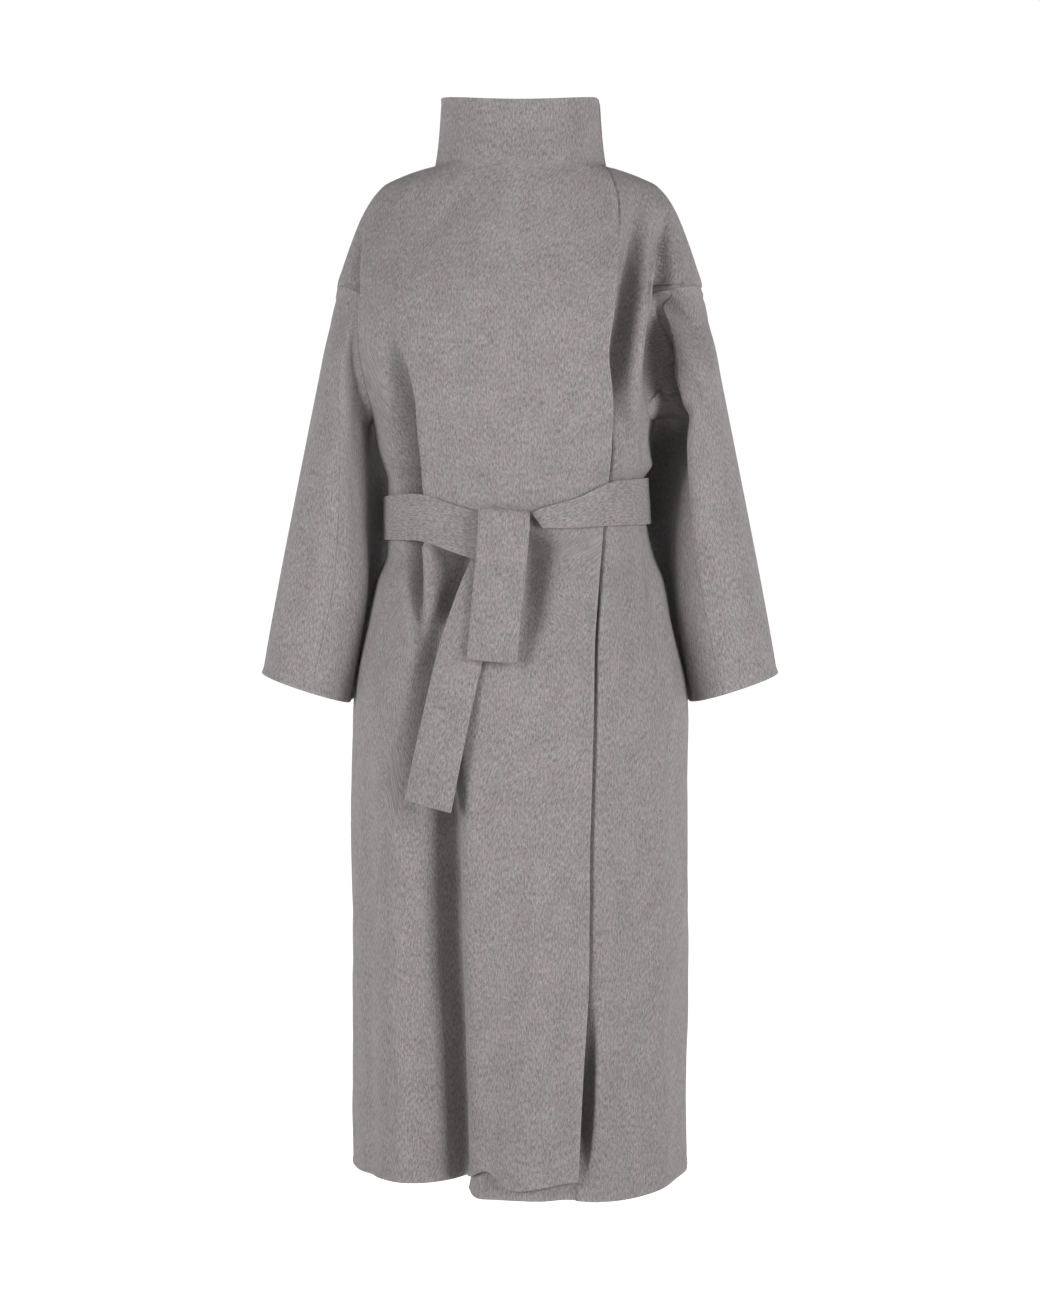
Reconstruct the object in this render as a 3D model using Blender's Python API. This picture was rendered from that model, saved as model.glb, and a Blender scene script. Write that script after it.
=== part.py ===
"""A long funnel-neck wrap coat of double-faced wool with a tied belt, as worn, with nobody in it.

Metres, +Z up, front towards -Y. The origin is the middle of the neck's base, between the shoulders.
Right and left are the wearer's, so the right side is at -X. Angles round the body start at the middle
of the front and grow towards the left side: 0 front, 90 left side, 180 back, 270 right side.
"""

import math
from collections import namedtuple

import bpy
import bmesh
import numpy as np

# Cloth and seams
CLOTH = 0.0025
BELT_CLOTH = 0.0040
SEAM_GAP = 0.0003
LAYER_GAP = 0.0027
ARMHOLE_GAP = 0.0006
STEP_OUT = 0.010

# Heights
NECK_HEIGHT = 0.0775
NECK_FRONT_DIP = 0.0085
UNDER_NECK_DROP = 0.002
HEM = -1.161
HEM_ZONE_TOP = -0.90
BELT_TOP = -0.3555
BELT_BOTTOM = -0.448
HIP = -0.62

# Armholes, as rounded openings in the sides of the body
ARMHOLE_TOP = -0.1376
ARMHOLE_BOTTOM = -0.290
ARMHOLE_FRONT_ANGLES = {"outer": math.radians(30), "under": math.radians(40)}
ARMHOLE_FRONT_TAPER = 0.25
ARMHOLE_BACK_ANGLE = math.radians(28)
ARMHOLE_SQUARENESS = 4.2
ARMHOLE_STEPS = 10
ARMHOLE_ROW_POWER = 1.6
SIDE = math.pi / 2

# Rows of the body: at the shoulder's curve, above the armhole, below it, in the belt, and in the skirt
SHOULDER_LEVELS = (0.0, -0.0035, -0.0080, -0.0128, -0.0222)
YOKE_LEVELS = (-0.0360, -0.0600, -0.0840, -0.1040, -0.1190, -0.1300)
UNDERARM_LEVELS = (-0.2975, -0.3070, -0.3200, -0.3360, -0.3480)
BELT_LEVELS = (BELT_TOP, -0.3615, -0.3700, -0.3900, -0.4120, -0.4320)
HIP_ROWS = 5
SKIRT_ROWS = 6
NECK_ROWS = 3

# Columns round the body, with those beside the armholes kept apart so that the others run straight down
OUTER_COLUMNS = 20
UNDER_SEEN_COLUMNS = 6
UNDER_FLANK_COLUMNS = 8
UNDER_HIDDEN_COLUMNS = 8
BACK_COLUMNS = 11
FLANK_COLUMNS = 5
FLANK_ANGLE = math.radians(52)
UNDER_FLANK_SHARE = 0.2
BELT_COLUMNS = 48
RING_SAMPLES = 400

# Small steps along a surface, to find which way it faces
TURN_STEP = 0.004
RISE_STEP = 0.0015
SLEEVE_TURN_STEP = 0.02
SLEEVE_ALONG_STEP = 0.004

# Horizontal sections of the body: half widths to the wearer's right and left, depths, and fullness of the curve
Section = namedtuple("Section", "height right left front back fullness")
SECTIONS = (
    Section(0.0900, 0.0885, 0.0885, 0.070, 0.066, 2.10),
    Section(0.0000, 0.0974, 0.0974, 0.090, 0.083, 2.00),
    Section(-0.0035, 0.1125, 0.1125, 0.0910, 0.085, 1.72),
    Section(-0.0128, 0.1382, 0.1382, 0.0940, 0.089, 1.49),
    Section(-0.0222, 0.1568, 0.1568, 0.0970, 0.093, 1.42),
    Section(-0.0501, 0.1784, 0.1784, 0.106, 0.101, 1.42),
    Section(-0.0875, 0.1947, 0.1947, 0.117, 0.108, 1.52),
    Section(-0.1150, 0.2043, 0.2043, 0.124, 0.112, 1.64),
    Section(-0.1376, 0.2105, 0.2105, 0.129, 0.115, 1.78),
    Section(-0.1750, 0.2090, 0.2075, 0.135, 0.117, 2.00),
    Section(-0.2138, 0.2000, 0.1970, 0.137, 0.117, 2.18),
    Section(-0.2550, 0.1850, 0.1800, 0.137, 0.115, 2.26),
    Section(-0.2900, 0.1715, 0.1640, 0.135, 0.113, 2.30),
    Section(-0.3250, 0.1650, 0.1600, 0.130, 0.109, 2.30),
    Section(-0.3420, 0.1595, 0.1570, 0.126, 0.105, 2.25),
    Section(-0.3600, 0.1545, 0.1440, 0.120, 0.100, 2.20),
    Section(-0.4100, 0.1535, 0.1470, 0.119, 0.100, 2.20),
    Section(-0.4450, 0.1550, 0.1545, 0.121, 0.103, 2.20),
    Section(-0.4775, 0.1675, 0.1675, 0.131, 0.116, 2.20),
    Section(-0.5260, 0.1775, 0.1775, 0.138, 0.127, 2.20),
    Section(-0.6160, 0.1940, 0.1940, 0.146, 0.140, 2.20),
    Section(-0.6700, 0.1959, 0.1959, 0.148, 0.144, 2.20),
    Section(-0.9000, 0.1962, 0.1962, 0.150, 0.148, 2.15),
    Section(-1.2000, 0.1955, 0.1955, 0.152, 0.150, 2.10),
)

# The free edges of the two fronts: distance from the middle at each height
EdgePoint = namedtuple("EdgePoint", "height across")
OUTER_EDGE = (
    EdgePoint(0.0900, 0.0865),
    EdgePoint(0.0000, 0.0957),
    EdgePoint(-0.0119, 0.1019),
    EdgePoint(-0.0517, 0.1105),
    EdgePoint(-0.1213, 0.1094),
    EdgePoint(-0.1735, 0.1053),
    EdgePoint(-0.2209, 0.0997),
    EdgePoint(-0.2715, 0.1043),
    EdgePoint(-0.3210, 0.1030),
    EdgePoint(-0.4100, 0.0943),
    EdgePoint(-0.5449, 0.0851),
    EdgePoint(-0.7755, 0.0790),
    EdgePoint(-0.9277, 0.0772),
    EdgePoint(-1.0463, 0.0705),
    EdgePoint(-1.2000, 0.0635),
)
UNDER_EDGE = (
    EdgePoint(0.0900, -0.030),
    EdgePoint(-0.2000, -0.058),
    EdgePoint(-1.2000, -0.0638),
)

# Folds: a line across the body from its top to its bottom, the reach of each side, depth (in is negative), fading
Fold = namedtuple("Fold", "layer face top bottom top_across bottom_across right left depth fade_top fade_bottom")
FOLDS = (
    Fold("outer", 1, -0.17, -0.44, -0.146, -0.1145, 0.020, 0.007, -0.015, 0.19, 0.02),
    Fold("outer", 1, -0.43, -0.51, -0.1190, -0.116, 0.010, 0.007, -0.011, 0.02, 0.06),
    Fold("outer", 1, -0.42, -0.56, -0.0900, -0.088, 0.008, 0.014, -0.008, 0.02, 0.06),
    Fold("outer", 1, -0.40, -0.54, -0.0650, -0.075, 0.018, 0.016, -0.010, 0.04, 0.08),
    Fold("outer", 1, -0.53, -1.19, -0.0930, -0.077, 0.034, 0.014, -0.034, 0.22, 0.02),
    Fold("outer", 1, -0.56, -1.19, -0.1400, -0.138, 0.040, 0.036, 0.009, 0.20, 0.02),
    Fold("outer", 1, -0.75, -1.19, 0.0150, 0.020, 0.048, 0.040, 0.011, 0.35, 0.02),
    Fold("outer", 1, -0.41, -0.58, 0.0120, 0.010, 0.018, 0.030, -0.014, 0.03, 0.12),
    Fold("under", 1, -0.02, -0.36, 0.1420, 0.090, 0.020, 0.016, -0.018, 0.14, 0.09),
    Fold("under", 1, -0.05, -0.34, 0.1520, 0.124, 0.012, 0.012, 0.005, 0.08, 0.10),
    Fold("under", 1, -0.11, -0.29, 0.1700, 0.156, 0.013, 0.022, -0.040, 0.08, 0.08),
    Fold("under", 1, -0.44, -0.62, 0.1300, 0.140, 0.020, 0.020, -0.007, 0.02, 0.12),
    Fold("back", -1, -0.12, -0.43, -0.0550, -0.050, 0.026, 0.018, -0.012, 0.22, 0.03),
    Fold("back", -1, -0.16, -0.43, 0.0620, 0.056, 0.018, 0.028, -0.013, 0.20, 0.03),
    Fold("back", -1, -0.20, -0.43, 0.1150, 0.105, 0.016, 0.016, -0.009, 0.18, 0.03),
    Fold("back", -1, -0.43, -1.19, -0.0900, -0.105, 0.032, 0.036, -0.020, 0.03, 0.02),
    Fold("back", -1, -0.43, -1.19, 0.0150, 0.005, 0.036, 0.036, -0.017, 0.03, 0.02),
    Fold("back", -1, -0.43, -1.19, 0.1000, 0.112, 0.036, 0.030, -0.020, 0.03, 0.02),
)

# How far parts of the hem rise above or hang below the level hem: middle, reach and rise
HemWave = namedtuple("HemWave", "layer across reach rise")
HEM_WAVES = (
    HemWave("outer", -0.140, 0.060, 0.004),
    HemWave("outer", -0.052, 0.024, 0.022),
    HemWave("outer", 0.055, 0.050, 0.011),
    HemWave("under", 0.000, 0.110, -0.008),
    HemWave("under", 0.110, 0.055, -0.012),
)

# Where the outer front stands away from the under front beside its edge, near the hem
HEM_OPENING = 0.014
HEM_OPENING_REACHES = {"under": 0.040, "beyond": 0.016}
HEM_OPENING_TOP = -0.86

# Sleeve sections below the armhole: outermost and innermost points, depths, how far the back falls in behind
# the body, and the front seam on each sleeve
SleeveRing = namedtuple("SleeveRing", "outer_x outer_z inner_x inner_z front back right_lean left_lean right_seam left_seam")
SLEEVE_RINGS = (
    SleeveRing(0.2215, -0.192, 0.1740, -0.306, 0.068, 0.076, 0.020, 0.030, 74, 122),
    SleeveRing(0.2350, -0.255, 0.1745, -0.346, 0.071, 0.082, 0.050, 0.085, 90, 122),
    SleeveRing(0.2533, -0.345, 0.1748, -0.415, 0.071, 0.085, 0.085, 0.115, 101, 118),
    SleeveRing(0.2735, -0.445, 0.1775, -0.495, 0.068, 0.085, 0.065, 0.065, 104, 112),
    SleeveRing(0.2900, -0.530, 0.1890, -0.567, 0.063, 0.083, 0.050, 0.050, 101, 110),
    SleeveRing(0.2995, -0.584, 0.1985, -0.617, 0.060, 0.080, 0.050, 0.050, 98, 106),
)
SLEEVE_FULLNESS = 2.15
SLEEVE_ROWS = 12
SLEEVE_ROW_POWER = 1.15
SLEEVE_SETTLES = 0.25
SEAM_SETTLES = 0.18
SLEEVE_BACK_SEAM = -110
SleeveCut = namedtuple("SleeveCut", "name side layer seam_column seam_field outer_split")
SLEEVES = (
    SleeveCut("sleeve_right", -1, "outer", 2, "right_seam", 1),
    SleeveCut("sleeve_left", 1, "under", 1, "left_seam", 2),
)
BACK_SEAM_COLUMN = -7

# The belt's run round the waist: angle in degrees, height of its middle, half its width, and its distance from the coat
BeltPoint = namedtuple("BeltPoint", "angle height half lift")
BELT_RUN = (
    BeltPoint(6, -0.4029, 0.0100, 0.0030),
    BeltPoint(11, -0.4010, 0.0120, 0.0022),
    BeltPoint(24, -0.3962, 0.0166, 0.0008),
    BeltPoint(47, -0.3850, 0.0255, 0.0010),
    BeltPoint(90, -0.3840, 0.0265, 0.0011),
    BeltPoint(180, -0.3950, 0.0275, 0.0007),
    BeltPoint(270, -0.4040, 0.0250, 0.0005),
    BeltPoint(312, -0.4010, 0.0265, 0.0005),
    BeltPoint(341, -0.4197, 0.0270, 0.0005),
    BeltPoint(353, -0.4250, 0.0265, 0.0005),
)
BELT_ROWS = 5

# The belt's tails: across, height and distance of the strip's middle from the coat's front
TailPoint = namedtuple("TailPoint", "across height lift")
TAIL_WIDTH = 0.0545
LONG_TAIL_WIDTH = 0.0510
TAIL_COLUMNS = 4
SHORT_TAIL = (
    TailPoint(-0.0165, -0.4010, 0.0075),
    TailPoint(-0.0165, -0.3960, 0.0082),
    TailPoint(-0.0165, -0.3930, 0.0112),
    TailPoint(-0.0166, -0.3962, 0.0148),
    TailPoint(-0.0172, -0.4120, 0.0163),
    TailPoint(-0.0187, -0.4320, 0.0150),
    TailPoint(-0.0208, -0.4550, 0.0120),
    TailPoint(-0.0245, -0.4900, 0.0102),
    TailPoint(-0.0280, -0.5300, 0.0095),
    TailPoint(-0.0307, -0.5608, 0.0105),
)
LONG_TAIL = (
    TailPoint(-0.0300, -0.4550, 0.0028),
    TailPoint(-0.0410, -0.4800, 0.0028),
    TailPoint(-0.0510, -0.5072, 0.0030),
    TailPoint(-0.0620, -0.5408, 0.0034),
    TailPoint(-0.0705, -0.5745, 0.0044),
    TailPoint(-0.0860, -0.6530, 0.0100),
    TailPoint(-0.0985, -0.7240, 0.0140),
)

# The turn of the knot, a pad under the short tail
KNOT_MIDDLE = (-0.0145, -0.4140)
KNOT_HALF_LENGTH = 0.0255
KNOT_HALF_HEIGHT = 0.0105
KNOT_UNDERSIDE = 0.0050
KNOT_DEPTH = 0.0068
KNOT_ROUNDNESS = 0.9
KNOT_RINGS = 3
KNOT_COLUMNS = 16

# Colours, linear
WOOL_COLOUR = (0.300, 0.272, 0.268, 1.0)
WOOL_ROUGHNESS = 0.92


def smooth_table(heights, values, at):
    """Values at the given heights on a smooth curve through a table, with no overshoot between its rows."""
    order = np.argsort(heights)
    x = np.asarray(heights, float)[order]
    y = np.asarray(values, float)[order]
    step = np.diff(x)
    rise = np.diff(y) / step
    slope = np.empty_like(y)
    slope[0] = rise[0]
    slope[-1] = rise[-1]
    same_way = rise[:-1] * rise[1:] > 0
    safe = np.where(same_way, rise[:-1] + rise[1:], 1.0)
    slope[1:-1] = np.where(same_way, 2 * rise[:-1] * rise[1:] / safe, 0.0)
    at = np.clip(at, x[0], x[-1])
    k = np.clip(np.searchsorted(x, at) - 1, 0, len(step) - 1)
    t = (at - x[k]) / step[k]
    start = (1 + 2 * t) * (1 - t) ** 2 * y[k] + t * (1 - t) ** 2 * step[k] * slope[k]
    end = t * t * (3 - 2 * t) * y[k + 1] + t * t * (t - 1) * step[k] * slope[k + 1]
    return start + end


def column_of(table, field, at, key="height"):
    return smooth_table([getattr(r, key) for r in table], [getattr(r, field) for r in table], at)


def ease(t):
    """0 below 0, 1 above 1, and smooth between."""
    t = np.clip(t, 0.0, 1.0)
    return t * t * (3 - 2 * t)


def half_widths(sine, height):
    right = column_of(SECTIONS, "right", height)
    left = column_of(SECTIONS, "left", height)
    return np.where(sine < 0, right, left)


def plain_ring(angle, height):
    """A point on the coat's plain outside, without folds, and its outward level direction."""
    sine = np.sin(angle)
    cosine = np.cos(angle)
    fullness = column_of(SECTIONS, "fullness", height)
    width = half_widths(sine, height)
    depth = np.where(cosine > 0, column_of(SECTIONS, "front", height), column_of(SECTIONS, "back", height))
    reach = (np.abs(sine) ** fullness + np.abs(cosine) ** fullness) ** (-1 / fullness)
    x = width * reach * sine
    y = -depth * reach * cosine
    out_x = np.sign(sine) * (np.abs(x) / width) ** (fullness - 1) / width
    out_y = -np.sign(cosine) * (np.abs(y) / depth) ** (fullness - 1) / depth
    length = np.hypot(out_x, out_y)
    return x, y, out_x / length, out_y / length


def angle_across(across, height, face=1):
    """The angle at which the plain outside is this far across, on the front (1) or the back (-1)."""
    fullness = column_of(SECTIONS, "fullness", height)
    share = np.clip(np.abs(across) / half_widths(across, height), 0.0, 0.9999)
    angle = np.sign(across) * np.arctan(share / (1 - share**fullness) ** (1 / fullness))
    return angle if face > 0 else math.pi - angle


def turn_between(angle, other):
    """The signed turn from other to angle, from -pi to pi."""
    return (angle - other + math.pi) % (2 * math.pi) - math.pi


def ring_radius(height):
    return (column_of(SECTIONS, "left", height) + column_of(SECTIONS, "front", height)) / 2


def fold_depth(angle, height, layer):
    total = np.zeros_like(angle)
    for fold in FOLDS:
        if fold.layer not in (layer, "back"):
            continue
        along = (fold.top - height) / (fold.top - fold.bottom)
        across = fold.top_across + (fold.bottom_across - fold.top_across) * np.clip(along, 0, 1)
        off = turn_between(angle, angle_across(across, height, fold.face)) * ring_radius(height) * fold.face
        reach = np.where(off < 0, fold.right, fold.left)
        strength = ease((fold.top - height) / fold.fade_top) * ease((height - fold.bottom) / fold.fade_bottom)
        total += fold.depth * strength * np.exp(-((off / reach) ** 2))
    return total


def beyond_outer_edge(angle, height):
    """How far round the coat a point is past the outer front's edge, in metres."""
    return turn_between(angle, edge_angle(OUTER_EDGE, height)) * ring_radius(height)


def tucked_in(angle, height):
    """How far the under front lies inside the outer front, running out beyond the outer edge."""
    beyond = beyond_outer_edge(angle, height)
    layer = (CLOTH + LAYER_GAP) * (1 - ease(beyond / STEP_OUT))
    opening = HEM_OPENING * ease((HEM_OPENING_TOP - height) / (HEM_OPENING_TOP - HEM))
    reach = np.where(beyond < 0, HEM_OPENING_REACHES["under"], HEM_OPENING_REACHES["beyond"])
    return layer + opening * np.exp(-((beyond / reach) ** 2))


def folded_point(angle, height, layer):
    """Points on a layer's outside with its folds. Where it is covered, the under front follows the outer one's."""
    x, y, out_x, out_y = plain_ring(angle, height)
    move = fold_depth(angle, height, layer)
    if layer == "under":
        covered = 1 - ease(beyond_outer_edge(angle, height) / STEP_OUT)
        move = move + covered * fold_depth(angle, height, "outer")
    return np.stack([x + move * out_x, y + move * out_y, height], axis=-1)


def unit(vectors):
    return vectors / np.linalg.norm(vectors, axis=-1, keepdims=True)


def facing(point_at, angle, height, layer):
    """The outward direction of a surface that a function of angle and height gives."""
    round_it = point_at(angle + TURN_STEP, height, layer) - point_at(angle - TURN_STEP, height, layer)
    up = point_at(angle, height + RISE_STEP, layer) - point_at(angle, height - RISE_STEP, layer)
    return unit(np.cross(round_it, up))


def coat_point(angle, height, layer):
    """Points on the outside of a layer of the coat, as rows of x, y, z."""
    points = folded_point(angle, height, layer)
    if layer == "under":
        inward = tucked_in(angle, height)[..., None]
        points = points - inward * facing(folded_point, angle, height, layer)
    return points


def hem_rise(angle, height, layer):
    """How far a hem's point moves up, for points near the hem."""
    across = plain_ring(angle, height)[0]
    front = np.cos(angle) > 0
    total = np.zeros_like(angle)
    for wave in HEM_WAVES:
        if wave.layer == layer:
            total += np.where(front, wave.rise * np.exp(-(((across - wave.across) / wave.reach) ** 2)), 0.0)
    return total * ease((HEM_ZONE_TOP - height) / (HEM_ZONE_TOP - HEM))


def neck_drop(angle, height, layer):
    """How far a neck's point moves down, so that the front of the neck is a little lower."""
    dip = NECK_FRONT_DIP * np.clip(np.cos(angle), 0, 1) ** 2
    if layer == "under":
        dip = dip + UNDER_NECK_DROP
    return dip * ease(height / NECK_HEIGHT)


def armhole_share(height):
    """How far the armhole is open at a height, from 0 to 1."""
    middle = (ARMHOLE_TOP + ARMHOLE_BOTTOM) / 2
    half = (ARMHOLE_TOP - ARMHOLE_BOTTOM) / 2
    off = np.clip(np.abs(height - middle) / half, 0, 1)
    return (1 - off**ARMHOLE_SQUARENESS) ** (1 / ARMHOLE_SQUARENESS)


def armhole_front(height, layer):
    """How far round the armhole reaches to the front at a height: less and less down from its top."""
    down = np.clip((ARMHOLE_TOP - height) / (ARMHOLE_TOP - ARMHOLE_BOTTOM), 0, 1)
    return ARMHOLE_FRONT_ANGLES[layer] * (1 - ARMHOLE_FRONT_TAPER * down)


def armhole_turn(column):
    """The turn of an armhole's point: column 0 is its top, ARMHOLE_STEPS its bottom, and further up its back."""
    half = ARMHOLE_STEPS / 2
    if column < 0:
        return -armhole_turn(-column)
    if column > ARMHOLE_STEPS:
        return 2 * math.pi - armhole_turn(2 * ARMHOLE_STEPS - column)
    if column > half:
        return math.pi - armhole_turn(ARMHOLE_STEPS - column)
    off = 1 - (column / half) ** ARMHOLE_ROW_POWER
    return math.acos(off ** (ARMHOLE_SQUARENESS / 2))


def armhole_level(turn):
    """The height of an armhole's point."""
    middle = (ARMHOLE_TOP + ARMHOLE_BOTTOM) / 2
    half = (ARMHOLE_TOP - ARMHOLE_BOTTOM) / 2
    cosine = np.cos(turn)
    return middle + half * np.sign(cosine) * np.abs(cosine) ** (2 / ARMHOLE_SQUARENESS)


def band(top, bottom, rows):
    """Heights from top down to bottom, without the bottom one."""
    return list(np.linspace(top, bottom, rows, endpoint=False))


def body_levels():
    """Heights of the rows of a body piece below the neck, from the neck's base to the hem."""
    levels = list(SHOULDER_LEVELS)
    levels += list(YOKE_LEVELS)
    levels += [armhole_level(armhole_turn(column)) for column in range(ARMHOLE_STEPS + 1)]
    levels += list(UNDERARM_LEVELS)
    levels += list(BELT_LEVELS)
    levels += band(BELT_BOTTOM, HIP, HIP_ROWS)
    levels += band(HIP, HEM, SKIRT_ROWS)
    return levels + [HEM]


def neck_levels():
    return band(NECK_HEIGHT, 0.0, NECK_ROWS)


def even_angles(stops, height, layer):
    """Angles that divide the coat's ring at this height evenly between stops, short of the seams at its two ends.

    Each stop is an angle and the number of columns up to it from the stop before.
    """
    result = []
    for (start, _), (end, columns) in zip(stops, stops[1:]):
        fine = np.linspace(start, end, RING_SAMPLES)
        points = coat_point(fine, np.full_like(fine, height), layer)
        length = np.concatenate([[0], np.cumsum(np.linalg.norm(np.diff(points, axis=0), axis=1))])
        places = np.linspace(0, length[-1], columns + 1)
        if not result:
            places[0] = SEAM_GAP / 2
        if end == stops[-1][0]:
            places[-1] -= SEAM_GAP / 2
        result += list(np.interp(places, length, fine))[1 if result else 0 :]
    return np.array(result)


def body_grid(levels, stops_at, layer):
    """The angles and heights of a body piece's points, row by row."""
    angles = []
    heights = []
    for level in levels:
        row = even_angles(stops_at(level), level, layer)
        angles.append(row)
        flat = np.full_like(row, level)
        heights.append(flat + hem_rise(row, flat, layer) - neck_drop(row, flat, layer))
    return np.array(angles), np.array(heights)


def material(name):
    wool = bpy.data.materials.new(name)
    wool.use_nodes = True
    shader = wool.node_tree.nodes["Principled BSDF"]
    shader.inputs["Base Color"].default_value = WOOL_COLOUR
    shader.inputs["Roughness"].default_value = WOOL_ROUGHNESS
    shader.inputs["Metallic"].default_value = 0.0
    return wool


def add_piece(name, mesh, parent):
    """A named object of a finished closed mesh, with its own cloth."""
    bmesh.ops.recalc_face_normals(mesh, faces=mesh.faces)
    data = bpy.data.meshes.new(name)
    mesh.to_mesh(data)
    mesh.free()
    data.materials.append(material(name + "_wool"))
    piece = bpy.data.objects.new(name, data)
    piece.parent = parent
    bpy.context.scene.collection.objects.link(piece)


def solid_from_grids(name, outside, inside, parent):
    """A closed wall between two grids of points with the same rows and columns."""
    rows, columns = outside.shape[:2]
    mesh = bmesh.new()
    out = [[mesh.verts.new(p) for p in row] for row in outside]
    inn = [[mesh.verts.new(p) for p in row] for row in inside]
    for i in range(rows - 1):
        for j in range(columns - 1):
            mesh.faces.new((out[i][j], out[i + 1][j], out[i + 1][j + 1], out[i][j + 1]))
            mesh.faces.new((inn[i][j], inn[i][j + 1], inn[i + 1][j + 1], inn[i + 1][j]))
    for i in range(rows - 1):
        mesh.faces.new((out[i][0], inn[i][0], inn[i + 1][0], out[i + 1][0]))
        mesh.faces.new((out[i][-1], out[i + 1][-1], inn[i + 1][-1], inn[i][-1]))
    for j in range(columns - 1):
        mesh.faces.new((out[0][j], out[0][j + 1], inn[0][j + 1], inn[0][j]))
        mesh.faces.new((out[-1][j], inn[-1][j], inn[-1][j + 1], out[-1][j + 1]))
    add_piece(name, mesh, parent)


def body_piece(name, levels, stops_at, layer, parent):
    angles, heights = body_grid(levels, stops_at, layer)
    outside = coat_point(angles, heights, layer)
    inside = outside - CLOTH * facing(coat_point, angles, heights, layer)
    solid_from_grids(name, outside, inside, parent)


def front_side_angle(height, layer):
    return SIDE - armhole_front(height, layer) * armhole_share(height)


def edge_angle(edge, height):
    return angle_across(column_of(edge, "across", height), height)


def outer_front(parent):
    def stops_at(level):
        edge = (edge_angle(OUTER_EDGE, level), 0)
        flank = (-FLANK_ANGLE, OUTER_COLUMNS)
        return edge, flank, (-front_side_angle(level, "outer"), FLANK_COLUMNS)

    body_piece("front_outer", neck_levels() + body_levels(), stops_at, "outer", parent)


def under_front(parent):
    def stops_at(level):
        outer_edge = edge_angle(OUTER_EDGE, level)
        side = (front_side_angle(level, "under"), 0)
        flank = (outer_edge + UNDER_FLANK_SHARE * (SIDE - outer_edge), UNDER_FLANK_COLUMNS)
        covered = (outer_edge, UNDER_SEEN_COLUMNS)
        return side, flank, covered, (edge_angle(UNDER_EDGE, level), UNDER_HIDDEN_COLUMNS)

    body_piece("front_under", neck_levels() + body_levels(), stops_at, "under", parent)


def back_stops(level):
    opening = SIDE + ARMHOLE_BACK_ANGLE * armhole_share(level)
    flank = math.pi - FLANK_ANGLE
    right = (2 * math.pi - opening, 0)
    right_flank = (2 * math.pi - flank, FLANK_COLUMNS)
    return right, right_flank, (flank, BACK_COLUMNS), (opening, FLANK_COLUMNS)


def back_panel(parent):
    body_piece("back", [-SEAM_GAP / 2] + body_levels()[1:], back_stops, "back", parent)


def back_neck(parent):
    body_piece("collar_back", neck_levels() + [SEAM_GAP / 2], back_stops, "back", parent)


def armhole_point(turn, side, layer):
    """A point of the armhole's edge: turn 0 is its top, 90 degrees its front, 180 degrees its bottom."""
    sine = np.sin(turn)
    share = np.abs(sine) ** (2 / ARMHOLE_SQUARENESS)
    height = armhole_level(turn)
    angle = SIDE + np.where(sine > 0, -armhole_front(height, layer), ARMHOLE_BACK_ANGLE) * share
    return coat_point(side * angle, height, layer)


def sleeve_ring_point(ring, turn, side):
    cosine = np.sign(np.cos(turn)) * np.abs(np.cos(turn)) ** (2 / SLEEVE_FULLNESS)
    sine = np.sign(np.sin(turn)) * np.abs(np.sin(turn)) ** (2 / SLEEVE_FULLNESS)
    behind = np.clip(-np.sin(turn), 0, 1) ** 2 * (1 - np.cos(turn)) / 2
    lean = ring.right_lean if side < 0 else ring.left_lean
    x = (ring.outer_x + ring.inner_x) / 2 + (ring.outer_x - ring.inner_x) / 2 * cosine - lean * behind
    z = (ring.outer_z + ring.inner_z) / 2 + (ring.outer_z - ring.inner_z) / 2 * cosine
    y = np.where(sine > 0, -ring.front, ring.back) * np.abs(sine)
    return np.stack([side * x, y, z], axis=-1)


def smooth_rings(rings, along):
    """Points at a place from 0 to 1 along evenly spaced rings, on smooth curves through the rings."""
    rise = np.diff(rings, axis=0)
    slope = np.concatenate([rise[:1], rise])
    slope[1:-1] = (rise[:-1] + rise[1:]) / 2
    place = along * len(rise)
    k = np.clip(place.astype(int), 0, len(rise) - 1)
    t = (place - k)[..., None]
    low = k[None, ..., None]
    start, end = (np.take_along_axis(rings, low + n, axis=0)[0] for n in (0, 1))
    start_slope, end_slope = (np.take_along_axis(slope, low + n, axis=0)[0] for n in (0, 1))
    from_start = (1 + 2 * t) * (1 - t) ** 2 * start + t * (1 - t) ** 2 * start_slope
    return from_start + t * t * (3 - 2 * t) * end + t * t * (t - 1) * end_slope


def sleeve_point(turn, along, cut):
    """A point on a sleeve's outside: along runs from 0 at the armhole to 1 at the cuff."""
    armhole = armhole_point(turn, cut.side, cut.layer)
    rings = [sleeve_ring_point(ring, turn, cut.side) for ring in SLEEVE_RINGS]
    leave = unit(rings[0] - armhole)
    clear = leave + np.array([cut.side, 0.0, 0.0])
    return smooth_rings(np.array([armhole + ARMHOLE_GAP * clear] + rings), along)


def sleeve_turns(along, first_column, columns, split, first_seam, last_seam):
    """Turns of a sleeve piece's points: the armhole's own at the top, and spread between the seams further down.

    Under the arm, at half a turn, the points stay where they are.
    """
    top = np.array([armhole_turn(first_column + column / split) for column in range(columns * split + 1)])
    stays = [math.pi] if top[-1] > math.pi else []
    rows = []
    for place in along:
        ends = (first_seam(place), last_seam(place))
        near = np.interp(top, [top[0], *stays, top[-1]], [ends[0], *stays, ends[1]])
        low = near if stays else np.linspace(*ends, len(top))
        share = ease(place / SLEEVE_SETTLES)
        rows.append(near * (1 - share) + low * share)
    return np.array(rows)


def on_chords(row, split):
    """A row of points, with those between every split-th one moved onto the straight line between them."""
    places = np.arange(len(row))
    return np.stack([np.interp(places, places[::split], axis) for axis in row[::split].T], axis=-1)


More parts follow.
